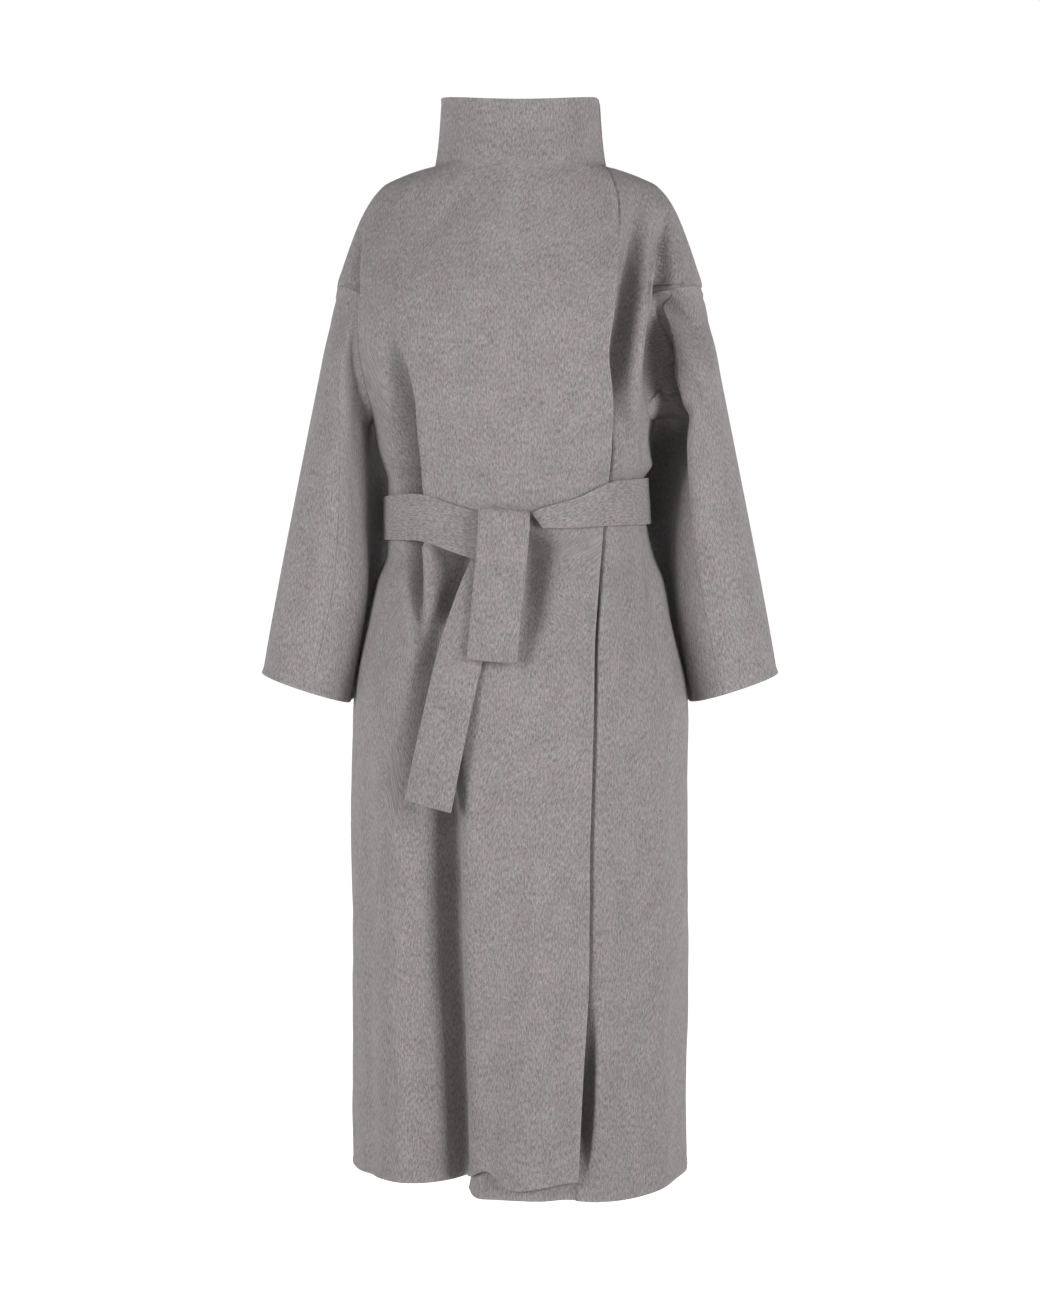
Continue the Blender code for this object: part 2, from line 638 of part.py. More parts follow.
def sleeve_piece(cut, part, parent):
    full = 2 * ARMHOLE_STEPS
    places = np.linspace(0, 1, len(SLEEVE_RINGS) + 1)[1:]
    degrees = [getattr(ring, cut.seam_field) for ring in SLEEVE_RINGS]
    top_seam = armhole_turn(cut.seam_column)

    def front_seam(place):
        low_seam = math.radians(float(smooth_table(places, degrees, place)))
        return top_seam + (low_seam - top_seam) * float(ease(place / SEAM_SETTLES))

    def back_seam(place):
        return math.radians(SLEEVE_BACK_SEAM)

    def back_seam_again(place):
        return back_seam(place) + 2 * math.pi

    along = np.linspace(0, 1, SLEEVE_ROWS + 1) ** SLEEVE_ROW_POWER
    split = cut.outer_split if part == "outer" else 1
    if part == "outer":
        columns = cut.seam_column - BACK_SEAM_COLUMN
        turns = sleeve_turns(along, BACK_SEAM_COLUMN, columns, split, back_seam, front_seam)
    else:
        columns = full - (cut.seam_column - BACK_SEAM_COLUMN)
        turns = sleeve_turns(along, cut.seam_column, columns, split, front_seam, back_seam_again)
    places_grid = np.repeat(along[:, None], turns.shape[1], axis=1)
    outside = sleeve_point(turns, places_grid, cut)
    outside[0] = on_chords(outside[0], split)
    ahead = sleeve_point(turns + SLEEVE_TURN_STEP, places_grid, cut)
    round_it = ahead - sleeve_point(turns - SLEEVE_TURN_STEP, places_grid, cut)
    before = np.clip(places_grid - SLEEVE_ALONG_STEP, 0, 1)
    after = np.clip(places_grid + SLEEVE_ALONG_STEP, 0, 1)
    down = sleeve_point(turns, after, cut) - sleeve_point(turns, before, cut)
    normal = unit(np.cross(down, round_it)) * -cut.side
    half_gap = SEAM_GAP / 2
    for edge, neighbour in ((0, 1), (-1, -2)):
        outside[:, edge] += half_gap * unit(outside[:, neighbour] - outside[:, edge])
    inside = outside - CLOTH * normal
    solid_from_grids(f"{cut.name}_{part}", outside, inside, parent)


def strip(name, middle, outward, thickness, parent):
    """A strip of cloth on both sides of a grid of points."""
    half = thickness / 2
    solid_from_grids(name, middle + half * outward, middle - half * outward, parent)


def belt_run(parent):
    """The belt round the waist, made from the coat's plain outside, moved out."""
    degrees = np.linspace(BELT_RUN[0].angle, BELT_RUN[-1].angle, BELT_COLUMNS + 1)
    heights = column_of(BELT_RUN, "height", degrees, key="angle")
    halves = column_of(BELT_RUN, "half", degrees, key="angle")
    lifts = column_of(BELT_RUN, "lift", degrees, key="angle")
    rows = np.linspace(1, -1, BELT_ROWS)
    angle = np.repeat(np.radians(degrees)[None, :], BELT_ROWS, axis=0)
    height = heights[None, :] + halves[None, :] * rows[:, None]
    x, y, out_x, out_y = plain_ring(angle, height)
    outward = np.stack([out_x, out_y, np.zeros_like(out_x)], axis=-1)
    surface = np.stack([x, y, height], axis=-1)
    middle = surface + (lifts[None, :, None] + BELT_CLOTH / 2) * outward
    strip("belt_band", middle, outward, BELT_CLOTH, parent)


def front_point(across, height):
    """A point on the coat's plain front and its outward direction."""
    x, y, out_x, out_y = plain_ring(angle_across(across, height), height)
    return np.stack([x, y, height], axis=-1), np.stack([out_x, out_y, np.zeros_like(out_x)], axis=-1)


def belt_tail(name, points, width, parent):
    """A hanging end of the belt: a strip along a path that is given by its distance from the coat."""
    path = np.array([(p.across, p.height) for p in points])
    lifts = np.array([p.lift for p in points])
    chord = unit(path[-1] - path[0])
    sideways = np.array([-chord[1], chord[0]])
    offsets = np.linspace(-width / 2, width / 2, TAIL_COLUMNS + 1)
    across = path[:, None, 0] + offsets[None, :] * sideways[0]
    height = path[:, None, 1] + offsets[None, :] * sideways[1]
    surface, outward = front_point(across, height)
    middle = surface + lifts[:, None, None] * outward
    along = np.gradient(middle, axis=0)
    sides = np.gradient(middle, axis=1)
    strip(name, middle, unit(np.cross(sides, along)), BELT_CLOTH, parent)


def belt_knot(parent):
    """The turn of the knot: a rounded pad between the belt's run and the short tail."""
    turns = np.linspace(0, 2 * math.pi, KNOT_COLUMNS, endpoint=False)
    mesh = bmesh.new()
    loops = []
    for ring in range(KNOT_RINGS + 1):
        rise = math.pi * (ring / KNOT_RINGS - 0.5) * KNOT_ROUNDNESS
        across = KNOT_MIDDLE[0] + KNOT_HALF_LENGTH * math.cos(rise) * np.cos(turns)
        height = KNOT_MIDDLE[1] + KNOT_HALF_HEIGHT * math.cos(rise) * np.sin(turns)
        lift = KNOT_UNDERSIDE + KNOT_DEPTH * (1 + math.sin(rise)) / 2
        surface, outward = front_point(across, height)
        loops.append([mesh.verts.new(p) for p in surface + lift * outward])
    for low, high in zip(loops, loops[1:]):
        for j in range(KNOT_COLUMNS):
            k = (j + 1) % KNOT_COLUMNS
            mesh.faces.new((low[j], low[k], high[k], high[j]))
    mesh.faces.new(loops[0])
    mesh.faces.new(loops[-1])
    add_piece("belt_knot", mesh, parent)


def main():
    for leftover in list(bpy.data.objects):
        bpy.data.objects.remove(leftover)
    coat = bpy.data.objects.new("coat", None)
    bpy.context.scene.collection.objects.link(coat)
    outer_front(coat)
    under_front(coat)
    back_panel(coat)
    back_neck(coat)
    for cut in SLEEVES:
        sleeve_piece(cut, "outer", coat)
        sleeve_piece(cut, "inner", coat)
    belt_run(coat)
    belt_knot(coat)
    belt_tail("belt_tail_short", SHORT_TAIL, TAIL_WIDTH, coat)
    belt_tail("belt_tail_long", LONG_TAIL, LONG_TAIL_WIDTH, coat)


main()
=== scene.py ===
"""The looks of a long funnel-neck wrap coat of brushed double-faced wool with a tied belt.

Metres, +Z up, front towards -Y. Right and left are the wearer's, so the right side is at -X. Angles round
the body start at the middle of the front: 0 front, 90 left side, 180 back, 270 right side.
"""

import math
from collections import namedtuple

import bpy
import numpy as np
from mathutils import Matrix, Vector


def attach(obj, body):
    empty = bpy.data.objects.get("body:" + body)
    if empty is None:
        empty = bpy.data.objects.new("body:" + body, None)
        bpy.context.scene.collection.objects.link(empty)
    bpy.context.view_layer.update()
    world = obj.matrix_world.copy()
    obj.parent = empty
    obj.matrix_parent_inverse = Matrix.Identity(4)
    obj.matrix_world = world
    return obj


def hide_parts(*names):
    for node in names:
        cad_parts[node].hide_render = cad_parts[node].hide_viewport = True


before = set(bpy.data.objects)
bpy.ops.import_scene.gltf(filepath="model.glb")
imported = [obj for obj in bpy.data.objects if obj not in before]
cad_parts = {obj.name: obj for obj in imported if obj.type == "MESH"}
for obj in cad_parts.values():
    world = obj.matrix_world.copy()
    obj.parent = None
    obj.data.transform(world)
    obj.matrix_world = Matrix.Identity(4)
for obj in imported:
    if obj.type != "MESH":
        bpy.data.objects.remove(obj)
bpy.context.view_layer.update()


def rows_of(kind, first, rows):
    """A table's rows as named tuples, after the values that all of them start with."""
    return tuple(kind(*first, *row) for row in rows)


# Cloth, and the gaps at seams and between the two fronts
CLOTH = 0.0025
BELT_CLOTH = 0.0040
SEAM_GAP = 0.0003
SLEEVE_SEAM_GAP = 0.00008
LAYER_GAP = 0.0027
TOP_LAYER_GAP = 0.0004
TOP_LAYER_ENDS = -0.070
ARMHOLE_GAP = 0.0001
STEP_OUT = 0.006

# Edges: cut edges are rounded over half the cloth and seams over less. Both stand a little proud and
# carry a painted highlight: their colour is lightened where light catches the edge fibres
FREE_EDGE = 0.00125
SEAM_EDGE = 0.0003
EDGE_PLACES = np.array([0.0, 0.15, 0.5, 1.0])
EDGE_ROLL = 0.0014
EDGE_ROLL_REACH = 0.0050
# Painted highlight: how far in from an edge the colour is lightened, and by how much, standing in for light
# caught by the edge fibres
PAINTED_EDGE_HIGHLIGHT_REACH = 0.0011
PAINTED_EDGE_HIGHLIGHT = 0.30
SEAM_ROLL = 0.0005
SEAM_ROLL_REACH = 0.0035

# Heights
NECK_HEIGHT = 0.0775
NECK_FRONT_DIP = 0.0085
UNDER_NECK_DROP = 0.002
HEM = -1.161
HEM_ZONE_TOP = -0.90
BELT_TOP = -0.3555
BELT_BOTTOM = -0.448
HIP = -0.62

# Armholes
ARMHOLE_TOP = -0.1376
ARMHOLE_BOTTOM = -0.290
ARMHOLE_MIDDLE = (ARMHOLE_TOP + ARMHOLE_BOTTOM) / 2
ARMHOLE_HALF = (ARMHOLE_TOP - ARMHOLE_BOTTOM) / 2
ARMHOLE_FRONT_ANGLES = {"outer": math.radians(30), "under": math.radians(40)}
ARMHOLE_FRONT_TAPER = 0.25
ARMHOLE_BACK_ANGLE = math.radians(28)
ARMHOLE_SQUARENESS = 4.2
ARMHOLE_STEPS = 10
ARMHOLE_ROW_POWER = 1.6
ARMHOLE_HALF_ROWS = 34
ARMHOLE_LEVEL_POWER = 2.6
SIDE = math.pi / 2

# Rows of a body piece, as how far apart they are in each stretch
NECK_STEP = 0.0040
SHOULDER_STEP = 0.0016
SHOULDER_END = -0.036
YOKE_STEP = 0.0042
WAIST_STEP = 0.0034
SKIRT_STEP = 0.0052

# Columns round the body
OUTER_COLUMNS = 66
UNDER_SEEN_COLUMNS = 22
UNDER_FLANK_COLUMNS = 48
UNDER_HIDDEN_COLUMNS = 26
BACK_COLUMNS = 56
FLANK_COLUMNS = 28
FLANK_ANGLE = math.radians(52)
UNDER_FLANK_SHARE = 0.2
RING_SAMPLES = 160
LOOKUP_STEPS = 3000
WIDEST_SHARE = 0.9999
TINY = 1e-12

Section = namedtuple("Section", "height right left front back fullness")
SECTIONS = rows_of(Section, (), (
    (0.09, 0.0885, 0.0885, 0.07, 0.066, 2.1),
    (0.0, 0.0974, 0.0974, 0.09, 0.083, 2.0),
    (-0.0035, 0.1125, 0.1125, 0.091, 0.085, 1.72),
    (-0.0128, 0.1382, 0.1382, 0.094, 0.089, 1.49),
    (-0.0222, 0.1568, 0.1568, 0.097, 0.093, 1.42),
    (-0.0501, 0.1784, 0.1784, 0.106, 0.101, 1.42),
    (-0.0875, 0.1947, 0.1947, 0.117, 0.108, 1.52),
    (-0.115, 0.2043, 0.2043, 0.124, 0.112, 1.64),
    (-0.1376, 0.2105, 0.2105, 0.129, 0.115, 1.78),
    (-0.175, 0.209, 0.2075, 0.135, 0.117, 2.0),
    (-0.2138, 0.2, 0.197, 0.137, 0.117, 2.18),
    (-0.255, 0.185, 0.18, 0.137, 0.115, 2.26),
    (-0.29, 0.1715, 0.164, 0.135, 0.113, 2.3),
    (-0.325, 0.165, 0.16, 0.13, 0.109, 2.3),
    (-0.342, 0.1595, 0.157, 0.126, 0.105, 2.25),
    (-0.36, 0.1545, 0.144, 0.12, 0.1, 2.2),
    (-0.41, 0.1535, 0.147, 0.119, 0.1, 2.2),
    (-0.445, 0.155, 0.1545, 0.121, 0.103, 2.2),
    (-0.4775, 0.1675, 0.1675, 0.131, 0.116, 2.2),
    (-0.526, 0.1775, 0.1775, 0.138, 0.127, 2.2),
    (-0.616, 0.194, 0.194, 0.146, 0.14, 2.2),
    (-0.67, 0.1959, 0.1959, 0.148, 0.144, 2.2),
    (-0.9, 0.1962, 0.1962, 0.15, 0.148, 2.15),
    (-1.2, 0.1955, 0.1955, 0.152, 0.15, 2.1),
))

EdgePoint = namedtuple("EdgePoint", "height across")
OUTER_EDGE = rows_of(EdgePoint, (), (
    (0.09, 0.0865),
    (0.0, 0.0957),
    (-0.0119, 0.1019),
    (-0.0517, 0.1105),
    (-0.1213, 0.1094),
    (-0.1735, 0.1053),
    (-0.2209, 0.0997),
    (-0.2715, 0.1043),
    (-0.321, 0.103),
    (-0.41, 0.0943),
    (-0.5449, 0.0851),
    (-0.7755, 0.079),
    (-0.9277, 0.0772),
    (-1.0463, 0.0705),
    (-1.2, 0.0635),
))
UNDER_EDGE = rows_of(EdgePoint, (), (
    (0.09, -0.03),
    (-0.2, -0.058),
    (-1.2, -0.076),
))

# The largest folds, as in the solids
SOFT_POWER = 2.0
Fold = namedtuple(
    "Fold", "layer face top bottom top_across bottom_across right left depth fade_top fade_bottom"
)
FOLDS = rows_of(Fold, ("outer", 1), (
    (-0.17, -0.44, -0.146, -0.1145, 0.02, 0.007, -0.015, 0.19, 0.02),
    (-0.43, -0.51, -0.119, -0.116, 0.01, 0.007, -0.011, 0.02, 0.06),
    (-0.42, -0.56, -0.09, -0.088, 0.008, 0.014, -0.008, 0.02, 0.06),
    (-0.4, -0.54, -0.065, -0.075, 0.018, 0.016, -0.01, 0.04, 0.08),
    (-0.53, -1.19, -0.093, -0.077, 0.034, 0.014, -0.034, 0.22, 0.02),
    (-0.56, -1.19, -0.14, -0.138, 0.04, 0.036, 0.009, 0.2, 0.02),
    (-0.75, -1.19, 0.015, 0.02, 0.048, 0.04, 0.011, 0.35, 0.02),
    (-0.41, -0.58, 0.012, 0.01, 0.018, 0.03, -0.014, 0.03, 0.12),
)) + rows_of(Fold, ("under", 1), (
    (-0.02, -0.36, 0.142, 0.09, 0.02, 0.016, -0.018, 0.14, 0.09),
    (-0.05, -0.34, 0.152, 0.124, 0.012, 0.012, 0.005, 0.08, 0.1),
    (-0.11, -0.29, 0.17, 0.156, 0.013, 0.022, -0.04, 0.08, 0.08),
    (-0.44, -0.62, 0.13, 0.14, 0.02, 0.02, -0.007, 0.02, 0.12),
)) + rows_of(Fold, ("back", -1), (
    (-0.12, -0.43, -0.055, -0.05, 0.026, 0.018, -0.012, 0.22, 0.03),
    (-0.16, -0.43, 0.062, 0.056, 0.018, 0.028, -0.013, 0.2, 0.03),
    (-0.2, -0.43, 0.115, 0.105, 0.016, 0.016, -0.009, 0.18, 0.03),
    (-0.43, -1.19, -0.09, -0.105, 0.032, 0.036, -0.02, 0.03, 0.02),
    (-0.43, -1.19, 0.015, 0.005, 0.036, 0.036, -0.017, 0.03, 0.02),
    (-0.43, -1.19, 0.1, 0.112, 0.036, 0.03, -0.02, 0.03, 0.02),
))

# Finer creases: a bent line down the cloth, the reach of each side, depth (in is negative), fading and how
# crisp it is (2 is soft)
Crease = namedtuple(
    "Crease",
    "layer face top bottom top_across mid_across bottom_across right left depth fade_top fade_bottom power",
)
CREASES = rows_of(Crease, ("outer", 1), (
    (-0.165, -0.4, -0.15, -0.1245, -0.115, 0.017, 0.004, -0.038, 0.15, 0.016, 1.6),
    (-0.24, -0.385, -0.118, -0.1135, -0.106, 0.004, 0.011, 0.004, 0.07, 0.012, 1.7),
    (-0.065, -0.16, -0.183, -0.185, -0.186, 0.008, 0.003, -0.01, 0.04, 0.015, 1.7),
    (-0.42, -0.55, -0.1195, -0.1175, -0.115, 0.008, 0.004, -0.022, 0.01, 0.06, 1.5),
    (-0.425, -0.54, -0.1075, -0.104, -0.1, 0.005, 0.008, 0.004, 0.012, 0.08, 1.7),
    (-0.5, -0.72, -0.098, -0.108, -0.122, 0.015, 0.01, -0.012, 0.04, 0.12, 1.7),
    (-0.43, -0.55, -0.07, -0.069, -0.07, 0.02, 0.015, -0.015, 0.012, 0.07, 2.0),
    (-0.62, -1.19, -0.083, -0.0795, -0.0775, 0.02, 0.009, -0.021, 0.14, 0.06, 2.0),
    (-0.86, -1.19, -0.064, -0.062, -0.06, 0.03, 0.046, -0.012, 0.22, 0.05, 2.0),
    (-0.425, -0.61, -0.052, -0.088, -0.113, 0.014, 0.006, -0.014, 0.02, 0.06, 1.7),
    (-0.015, -0.12, -0.092, -0.088, -0.08, 0.03, 0.026, -0.003, 0.03, 0.05, 2.0),
    (-0.085, -0.23, -0.05, -0.008, 0.045, 0.013, 0.013, -0.0028, 0.06, 0.07, 2.0),
    (-0.14, -0.29, -0.08, -0.035, 0.02, 0.015, 0.013, 0.0016, 0.06, 0.08, 2.0),
    (-0.16, -0.33, 0.02, 0.045, 0.078, 0.016, 0.014, -0.0028, 0.06, 0.09, 2.0),
    (-0.3, -0.385, -0.045, -0.048, -0.055, 0.012, 0.012, -0.0026, 0.06, 0.02, 2.0),
    (-0.29, -0.37, 0.048, 0.045, 0.04, 0.012, 0.014, -0.0022, 0.06, 0.02, 2.0),
    (-0.41, -0.6, 0.006, 0.004, 0.0, 0.012, 0.022, -0.012, 0.02, 0.12, 1.6),
    (-0.42, -0.64, 0.074, 0.074, 0.072, 0.024, 0.008, -0.009, 0.02, 0.12, 2.0),
    (-0.52, -1.19, -0.174, -0.172, -0.17, 0.015, 0.016, -0.004, 0.2, 0.02, 2.0),
    (-0.62, -1.19, -0.025, -0.022, -0.026, 0.018, 0.02, -0.003, 0.25, 0.02, 2.0),
    (-0.86, -1.19, 0.056, 0.054, 0.05, 0.012, 0.014, -0.002, 0.18, 0.02, 2.0),
)) + rows_of(Crease, ("under", 1), (
    (-0.01, -0.3, 0.133, 0.126, 0.094, 0.014, 0.0095, -0.02, 0.2, 0.09, 1.8),
    (-0.045, -0.18, 0.169, 0.1715, 0.1745, 0.02, 0.0035, -0.022, 0.06, 0.045, 1.5),
    (-0.05, -0.21, 0.148, 0.1485, 0.1475, 0.01, 0.0045, -0.004, 0.06, 0.06, 1.7),
    (-0.03, -0.32, 0.152, 0.146, 0.135, 0.028, 0.028, -0.005, 0.12, 0.14, 2.0),
    (-0.05, -0.285, 0.15, 0.14, 0.126, 0.006, 0.008, 0.004, 0.06, 0.08, 1.8),
    (-0.055, -0.19, 0.1545, 0.1505, 0.1455, 0.0035, 0.0035, -0.003, 0.03, 0.05, 1.8),
    (-0.09, -0.205, 0.162, 0.156, 0.149, 0.006, 0.006, 0.003, 0.04, 0.04, 1.8),
    (-0.11, -0.29, 0.17, 0.163, 0.156, 0.011, 0.02, -0.014, 0.08, 0.08, 2.1),
    (-0.088, -0.185, 0.184, 0.184, 0.183, 0.004, 0.0045, 0.002, 0.03, 0.04, 1.8),
    (-0.255, -0.352, 0.118, 0.122, 0.124, 0.01, 0.011, -0.005, 0.05, 0.012, 2.0),
    (-0.28, -0.352, 0.142, 0.142, 0.14, 0.008, 0.008, -0.004, 0.04, 0.012, 2.0),
    (-0.44, -0.6, 0.116, 0.121, 0.128, 0.012, 0.013, -0.005, 0.015, 0.11, 1.9),
    (-0.45, -0.72, 0.148, 0.157, 0.163, 0.014, 0.014, -0.0045, 0.02, 0.17, 2.0),
    (-0.56, -1.19, 0.125, 0.123, 0.12, 0.026, 0.028, -0.004, 0.25, 0.02, 2.0),
    (-0.93, -1.155, 0.079, 0.0745, 0.069, 0.026, 0.0065, -0.02, 0.15, 0.07, 2.0),
    (-0.64, -1.19, 0.162, 0.164, 0.162, 0.018, 0.018, 0.003, 0.25, 0.02, 2.0),
)) + rows_of(Crease, ("back", 1), (
    (-0.15, -0.365, 0.175, 0.164, 0.156, 0.036, 0.06, -0.013, 0.08, 0.06, 2.0),
)) + rows_of(Crease, ("back", -1), (
    (-0.06, -0.29, -0.095, -0.065, -0.03, 0.016, 0.018, -0.0025, 0.07, 0.1, 2.0),
    (-0.08, -0.32, 0.1, 0.07, 0.042, 0.018, 0.015, -0.0025, 0.08, 0.11, 2.0),
    (-0.23, -0.372, -0.115, -0.106, -0.098, 0.009, 0.007, -0.007, 0.09, 0.012, 1.8),
    (-0.27, -0.372, -0.03, -0.027, -0.025, 0.009, 0.009, -0.005, 0.07, 0.012, 1.8),
    (-0.29, -0.372, 0.026, 0.025, 0.023, 0.008, 0.01, -0.004, 0.06, 0.012, 1.9),
    (-0.25, -0.372, 0.085, 0.082, 0.079, 0.008, 0.008, -0.006, 0.08, 0.012, 1.8),
    (-0.42, -0.58, -0.108, -0.113, -0.12, 0.009, 0.009, -0.007, 0.012, 0.11, 1.8),
    (-0.42, -0.52, -0.055, -0.056, -0.058, 0.009, 0.008, -0.006, 0.012, 0.07, 1.9),
    (-0.42, -0.62, 0.042, 0.044, 0.048, 0.01, 0.011, -0.006, 0.012, 0.14, 1.9),
    (-0.42, -0.56, 0.12, 0.127, 0.134, 0.009, 0.009, -0.006, 0.012, 0.1, 1.8),
    (-0.56, -1.19, -0.04, -0.046, -0.05, 0.02, 0.022, 0.004, 0.2, 0.02, 2.0),
    (-0.6, -1.19, 0.058, 0.059, 0.057, 0.02, 0.02, 0.0045, 0.22, 0.02, 2.0),
))

# The cloth's slight unevenness: waves round and down the coat, fading at the belt and the neck
UNEVEN_ABOVE_BELT = 0.03
UNEVEN_ABOVE_FADE = 0.03
UNEVEN_BELOW_BELT = 0.02
UNEVEN_BELOW_FADE = 0.05
UNEVEN_TOP = 0.02
UNEVEN_TOP_FADE = 0.06
Wave = namedtuple("Wave", "round_it down phase height")
UNEVEN = rows_of(Wave, (), (
    (5.0, 21.0, 0.4, 0.0006),
    (-8.0, 33.0, 1.9, 0.0005),
    (13.0, -17.0, 3.1, 0.0004),
    (19.0, 52.0, 5.2, 0.00028),
    (-27.0, 71.0, 0.9, 0.0002),
))

HemWave = namedtuple("HemWave", "layer across reach rise")
HEM_WAVES = rows_of(HemWave, ("outer",), (
    (-0.14, 0.06, 0.004),
    (-0.052, 0.024, 0.012),
    (-0.036, 0.016, 0.013),
    (0.055, 0.05, 0.011),
)) + rows_of(HemWave, ("under",), (
    (0.0, 0.11, -0.008),
    (0.11, 0.055, -0.012),
    (-0.065, 0.045, -0.002),
    (0.155, 0.036, -0.005),
))
HEM_OPENING = 0.014
HEM_OPENING_REACHES = {"under": 0.040, "beyond": 0.012}
HEM_OPENING_TOP = -0.86
HEM_CLOSES = 0.8
HEM_CLOSING_TOP = -1.05

SleeveRing = namedtuple(
    "SleeveRing", "outer_x outer_z inner_x inner_z front back right_lean left_lean right_seam left_seam"
)
SLEEVE_RINGS = rows_of(SleeveRing, (), (
    (0.2215, -0.192, 0.174, -0.306, 0.068, 0.076, 0.02, 0.03, 74, 122),
    (0.235, -0.255, 0.1745, -0.346, 0.071, 0.082, 0.05, 0.085, 90, 122),
    (0.2533, -0.345, 0.1748, -0.415, 0.071, 0.085, 0.085, 0.115, 101, 118),
    (0.2735, -0.445, 0.1775, -0.495, 0.068, 0.085, 0.065, 0.065, 104, 112),
    (0.29, -0.53, 0.189, -0.567, 0.063, 0.083, 0.05, 0.05, 101, 110),
    (0.2995, -0.584, 0.1985, -0.617, 0.06, 0.08, 0.05, 0.05, 98, 106),
))
SLEEVE_FULLNESS = 2.15
SLEEVE_ROWS = 96
SLEEVE_ROW_POWER = 1.15
SLEEVE_SETTLES = 0.25
SEAM_SETTLES = 0.18
SLEEVE_BACK_SEAM = -110
SLEEVE_LENGTH = 0.40
SLEEVE_TURN_STEP = 0.02
SLEEVE_ALONG_STEP = 0.004
SleeveCut = namedtuple("SleeveCut", "name side layer seam_column seam_field")
SLEEVES = (
    SleeveCut("sleeve_right", -1, "outer", 2, "right_seam"),
    SleeveCut("sleeve_left", 1, "under", 1, "left_seam"),
)
BACK_SEAM_COLUMN = -7

# Hollows where a sleeve sinks in below the armhole: degrees past its front seam, the reach in degrees
# towards the seam and away from it, where along the sleeve it is full and where it ends, and its depth
SleeveHollow = namedtuple("SleeveHollow", "name past near far full end depth")
HOLLOW_FAR_POWER = 1.25
SLEEVE_HOLLOWS = rows_of(SleeveHollow, ("sleeve_left",), (
    (5.0, 3.2, 46, 0.11, 0.75, -0.034),
    (50, 32, 52, 0.034, 0.5, -0.022),
)) + rows_of(SleeveHollow, ("sleeve_right",), (
    (40, 20, 30, 0.08, 0.24, -0.009),
))

# Soft folds along the sleeves: where they start and end along it, the turn in degrees there, reach and depth
SleeveFold = namedtuple("SleeveFold", "name start end start_turn end_turn reach depth power")
SLEEVE_FOLD_FADES_IN = 0.3
SLEEVE_FOLD_FADES_OUT = 0.4
SLEEVE_FOLDS = rows_of(SleeveFold, ("sleeve_right",), (
    (0.02, 0.55, 118, 128, 11, -0.004, 1.9),
    (0.1, 0.9, 62, 66, 13, -0.0028, 2.0),
    (0.3, 1.1, 120, 112, 12, 0.0024, 2.0),
    (0.46, 1.2, 146, 142, 20, 0.009, 2.0),
    (0.05, 0.6, -60, -72, 13, -0.004, 1.9),
    (0.25, 1.05, -128, -120, 13, -0.0045, 1.9),
)) + rows_of(SleeveFold, ("sleeve_left",), (
    (0.02, 0.6, 96, 88, 9, -0.0036, 1.9),
    (0.0, 0.12, 150, 150, 26, -0.014, 2.0),
    (0.0, 0.3, 150, 148, 24, -0.012, 2.0),
    (0.2, 1.1, 62, 70, 12, -0.0022, 2.0),
    (0.05, 0.8, 140, 132, 12, -0.005, 1.9),
    (0.05, 0.7, -66, -58, 13, -0.0042, 1.9),
    (0.3, 1.08, -118, -126, 12, -0.0042, 1.9),
))

BeltPoint = namedtuple("BeltPoint", "angle height half lift")
BELT_RUN = rows_of(BeltPoint, (), (
    (6, -0.4029, 0.01, 0.003),
    (11, -0.401, 0.012, 0.0022),
    (24, -0.3962, 0.0166, 0.0008),
    (47, -0.385, 0.0255, 0.001),
    (90, -0.384, 0.0265, 0.0011),
    (180, -0.395, 0.0275, 0.0007),
    (270, -0.404, 0.025, 0.0005),
    (312, -0.401, 0.0265, 0.0005),
    (341, -0.4197, 0.027, 0.0005),
    (353, -0.425, 0.0265, 0.0005),
))
BELT_COLUMNS = 230
BELT_ROWS = 13
BELT_BULGE = 0.0010
BELT_NOSE_DEGREES = 2.4
BELT_NOSE_REACHES = 1.3
BELT_NOSE_NARROWS = 0.62
BELT_NOSE_SLANT = 4.0
BELT_NOSE_SLANT_ENDS = 10.0

TailPoint = namedtuple("TailPoint", "across height lift")
TAIL_WIDTH = 0.0545
LONG_TAIL_WIDTH = 0.0510
TAIL_COLUMNS = 14
TAIL_ROWS = 84
TAIL_CORNER = 0.0022
SHORT_TAIL = rows_of(TailPoint, (), (
    (-0.0165, -0.401, 0.0075),
    (-0.0165, -0.396, 0.0082),
    (-0.0165, -0.393, 0.0112),
    (-0.0166, -0.3962, 0.0148),
    (-0.0172, -0.412, 0.0163),
    (-0.0187, -0.432, 0.015),
    (-0.0208, -0.455, 0.012),
    (-0.0245, -0.49, 0.0102),
    (-0.028, -0.53, 0.0095),
    (-0.0307, -0.5608, 0.0105),
))
LONG_TAIL = rows_of(TailPoint, (), (
    (-0.03, -0.455, 0.0028),
    (-0.041, -0.48, 0.0028),
    (-0.051, -0.5072, 0.003),
    (-0.062, -0.5408, 0.0034),
    (-0.0705, -0.5745, 0.0044),
    (-0.086, -0.653, 0.01),
    (-0.0985, -0.724, 0.014),
))

KNOT_MIDDLE = (-0.0145, -0.4140)
KNOT_HALF_LENGTH = 0.0255
KNOT_HALF_HEIGHT = 0.0105
KNOT_UNDERSIDE = 0.0050
KNOT_DEPTH = 0.0068
KNOT_ROUNDNESS = 0.6
KNOT_RINGS = 20
KNOT_COLUMNS = 48

# Where each piece was cut from the cloth, so that no two show the same fibres
GRAIN_STARTS = {
    "front_outer": (0.3, 0.0),
    "front_under": (2.1, 0.4),
    "back": (4.7, 0.2),
    "collar_back": (6.3, 0.7),
    "sleeve_right_outer": (10.3, 0.3),
    "sleeve_right_inner": (11.1, 0.6),
    "sleeve_left_outer": (12.3, 0.3),
    "sleeve_left_inner": (13.1, 0.6),
    "belt_band": (8.2, 0.1),
    "belt_knot": (9.1, 0.0),
    "belt_tail_short": (15.2, 0.2),
    "belt_tail_long": (16.4, 0.5),
}

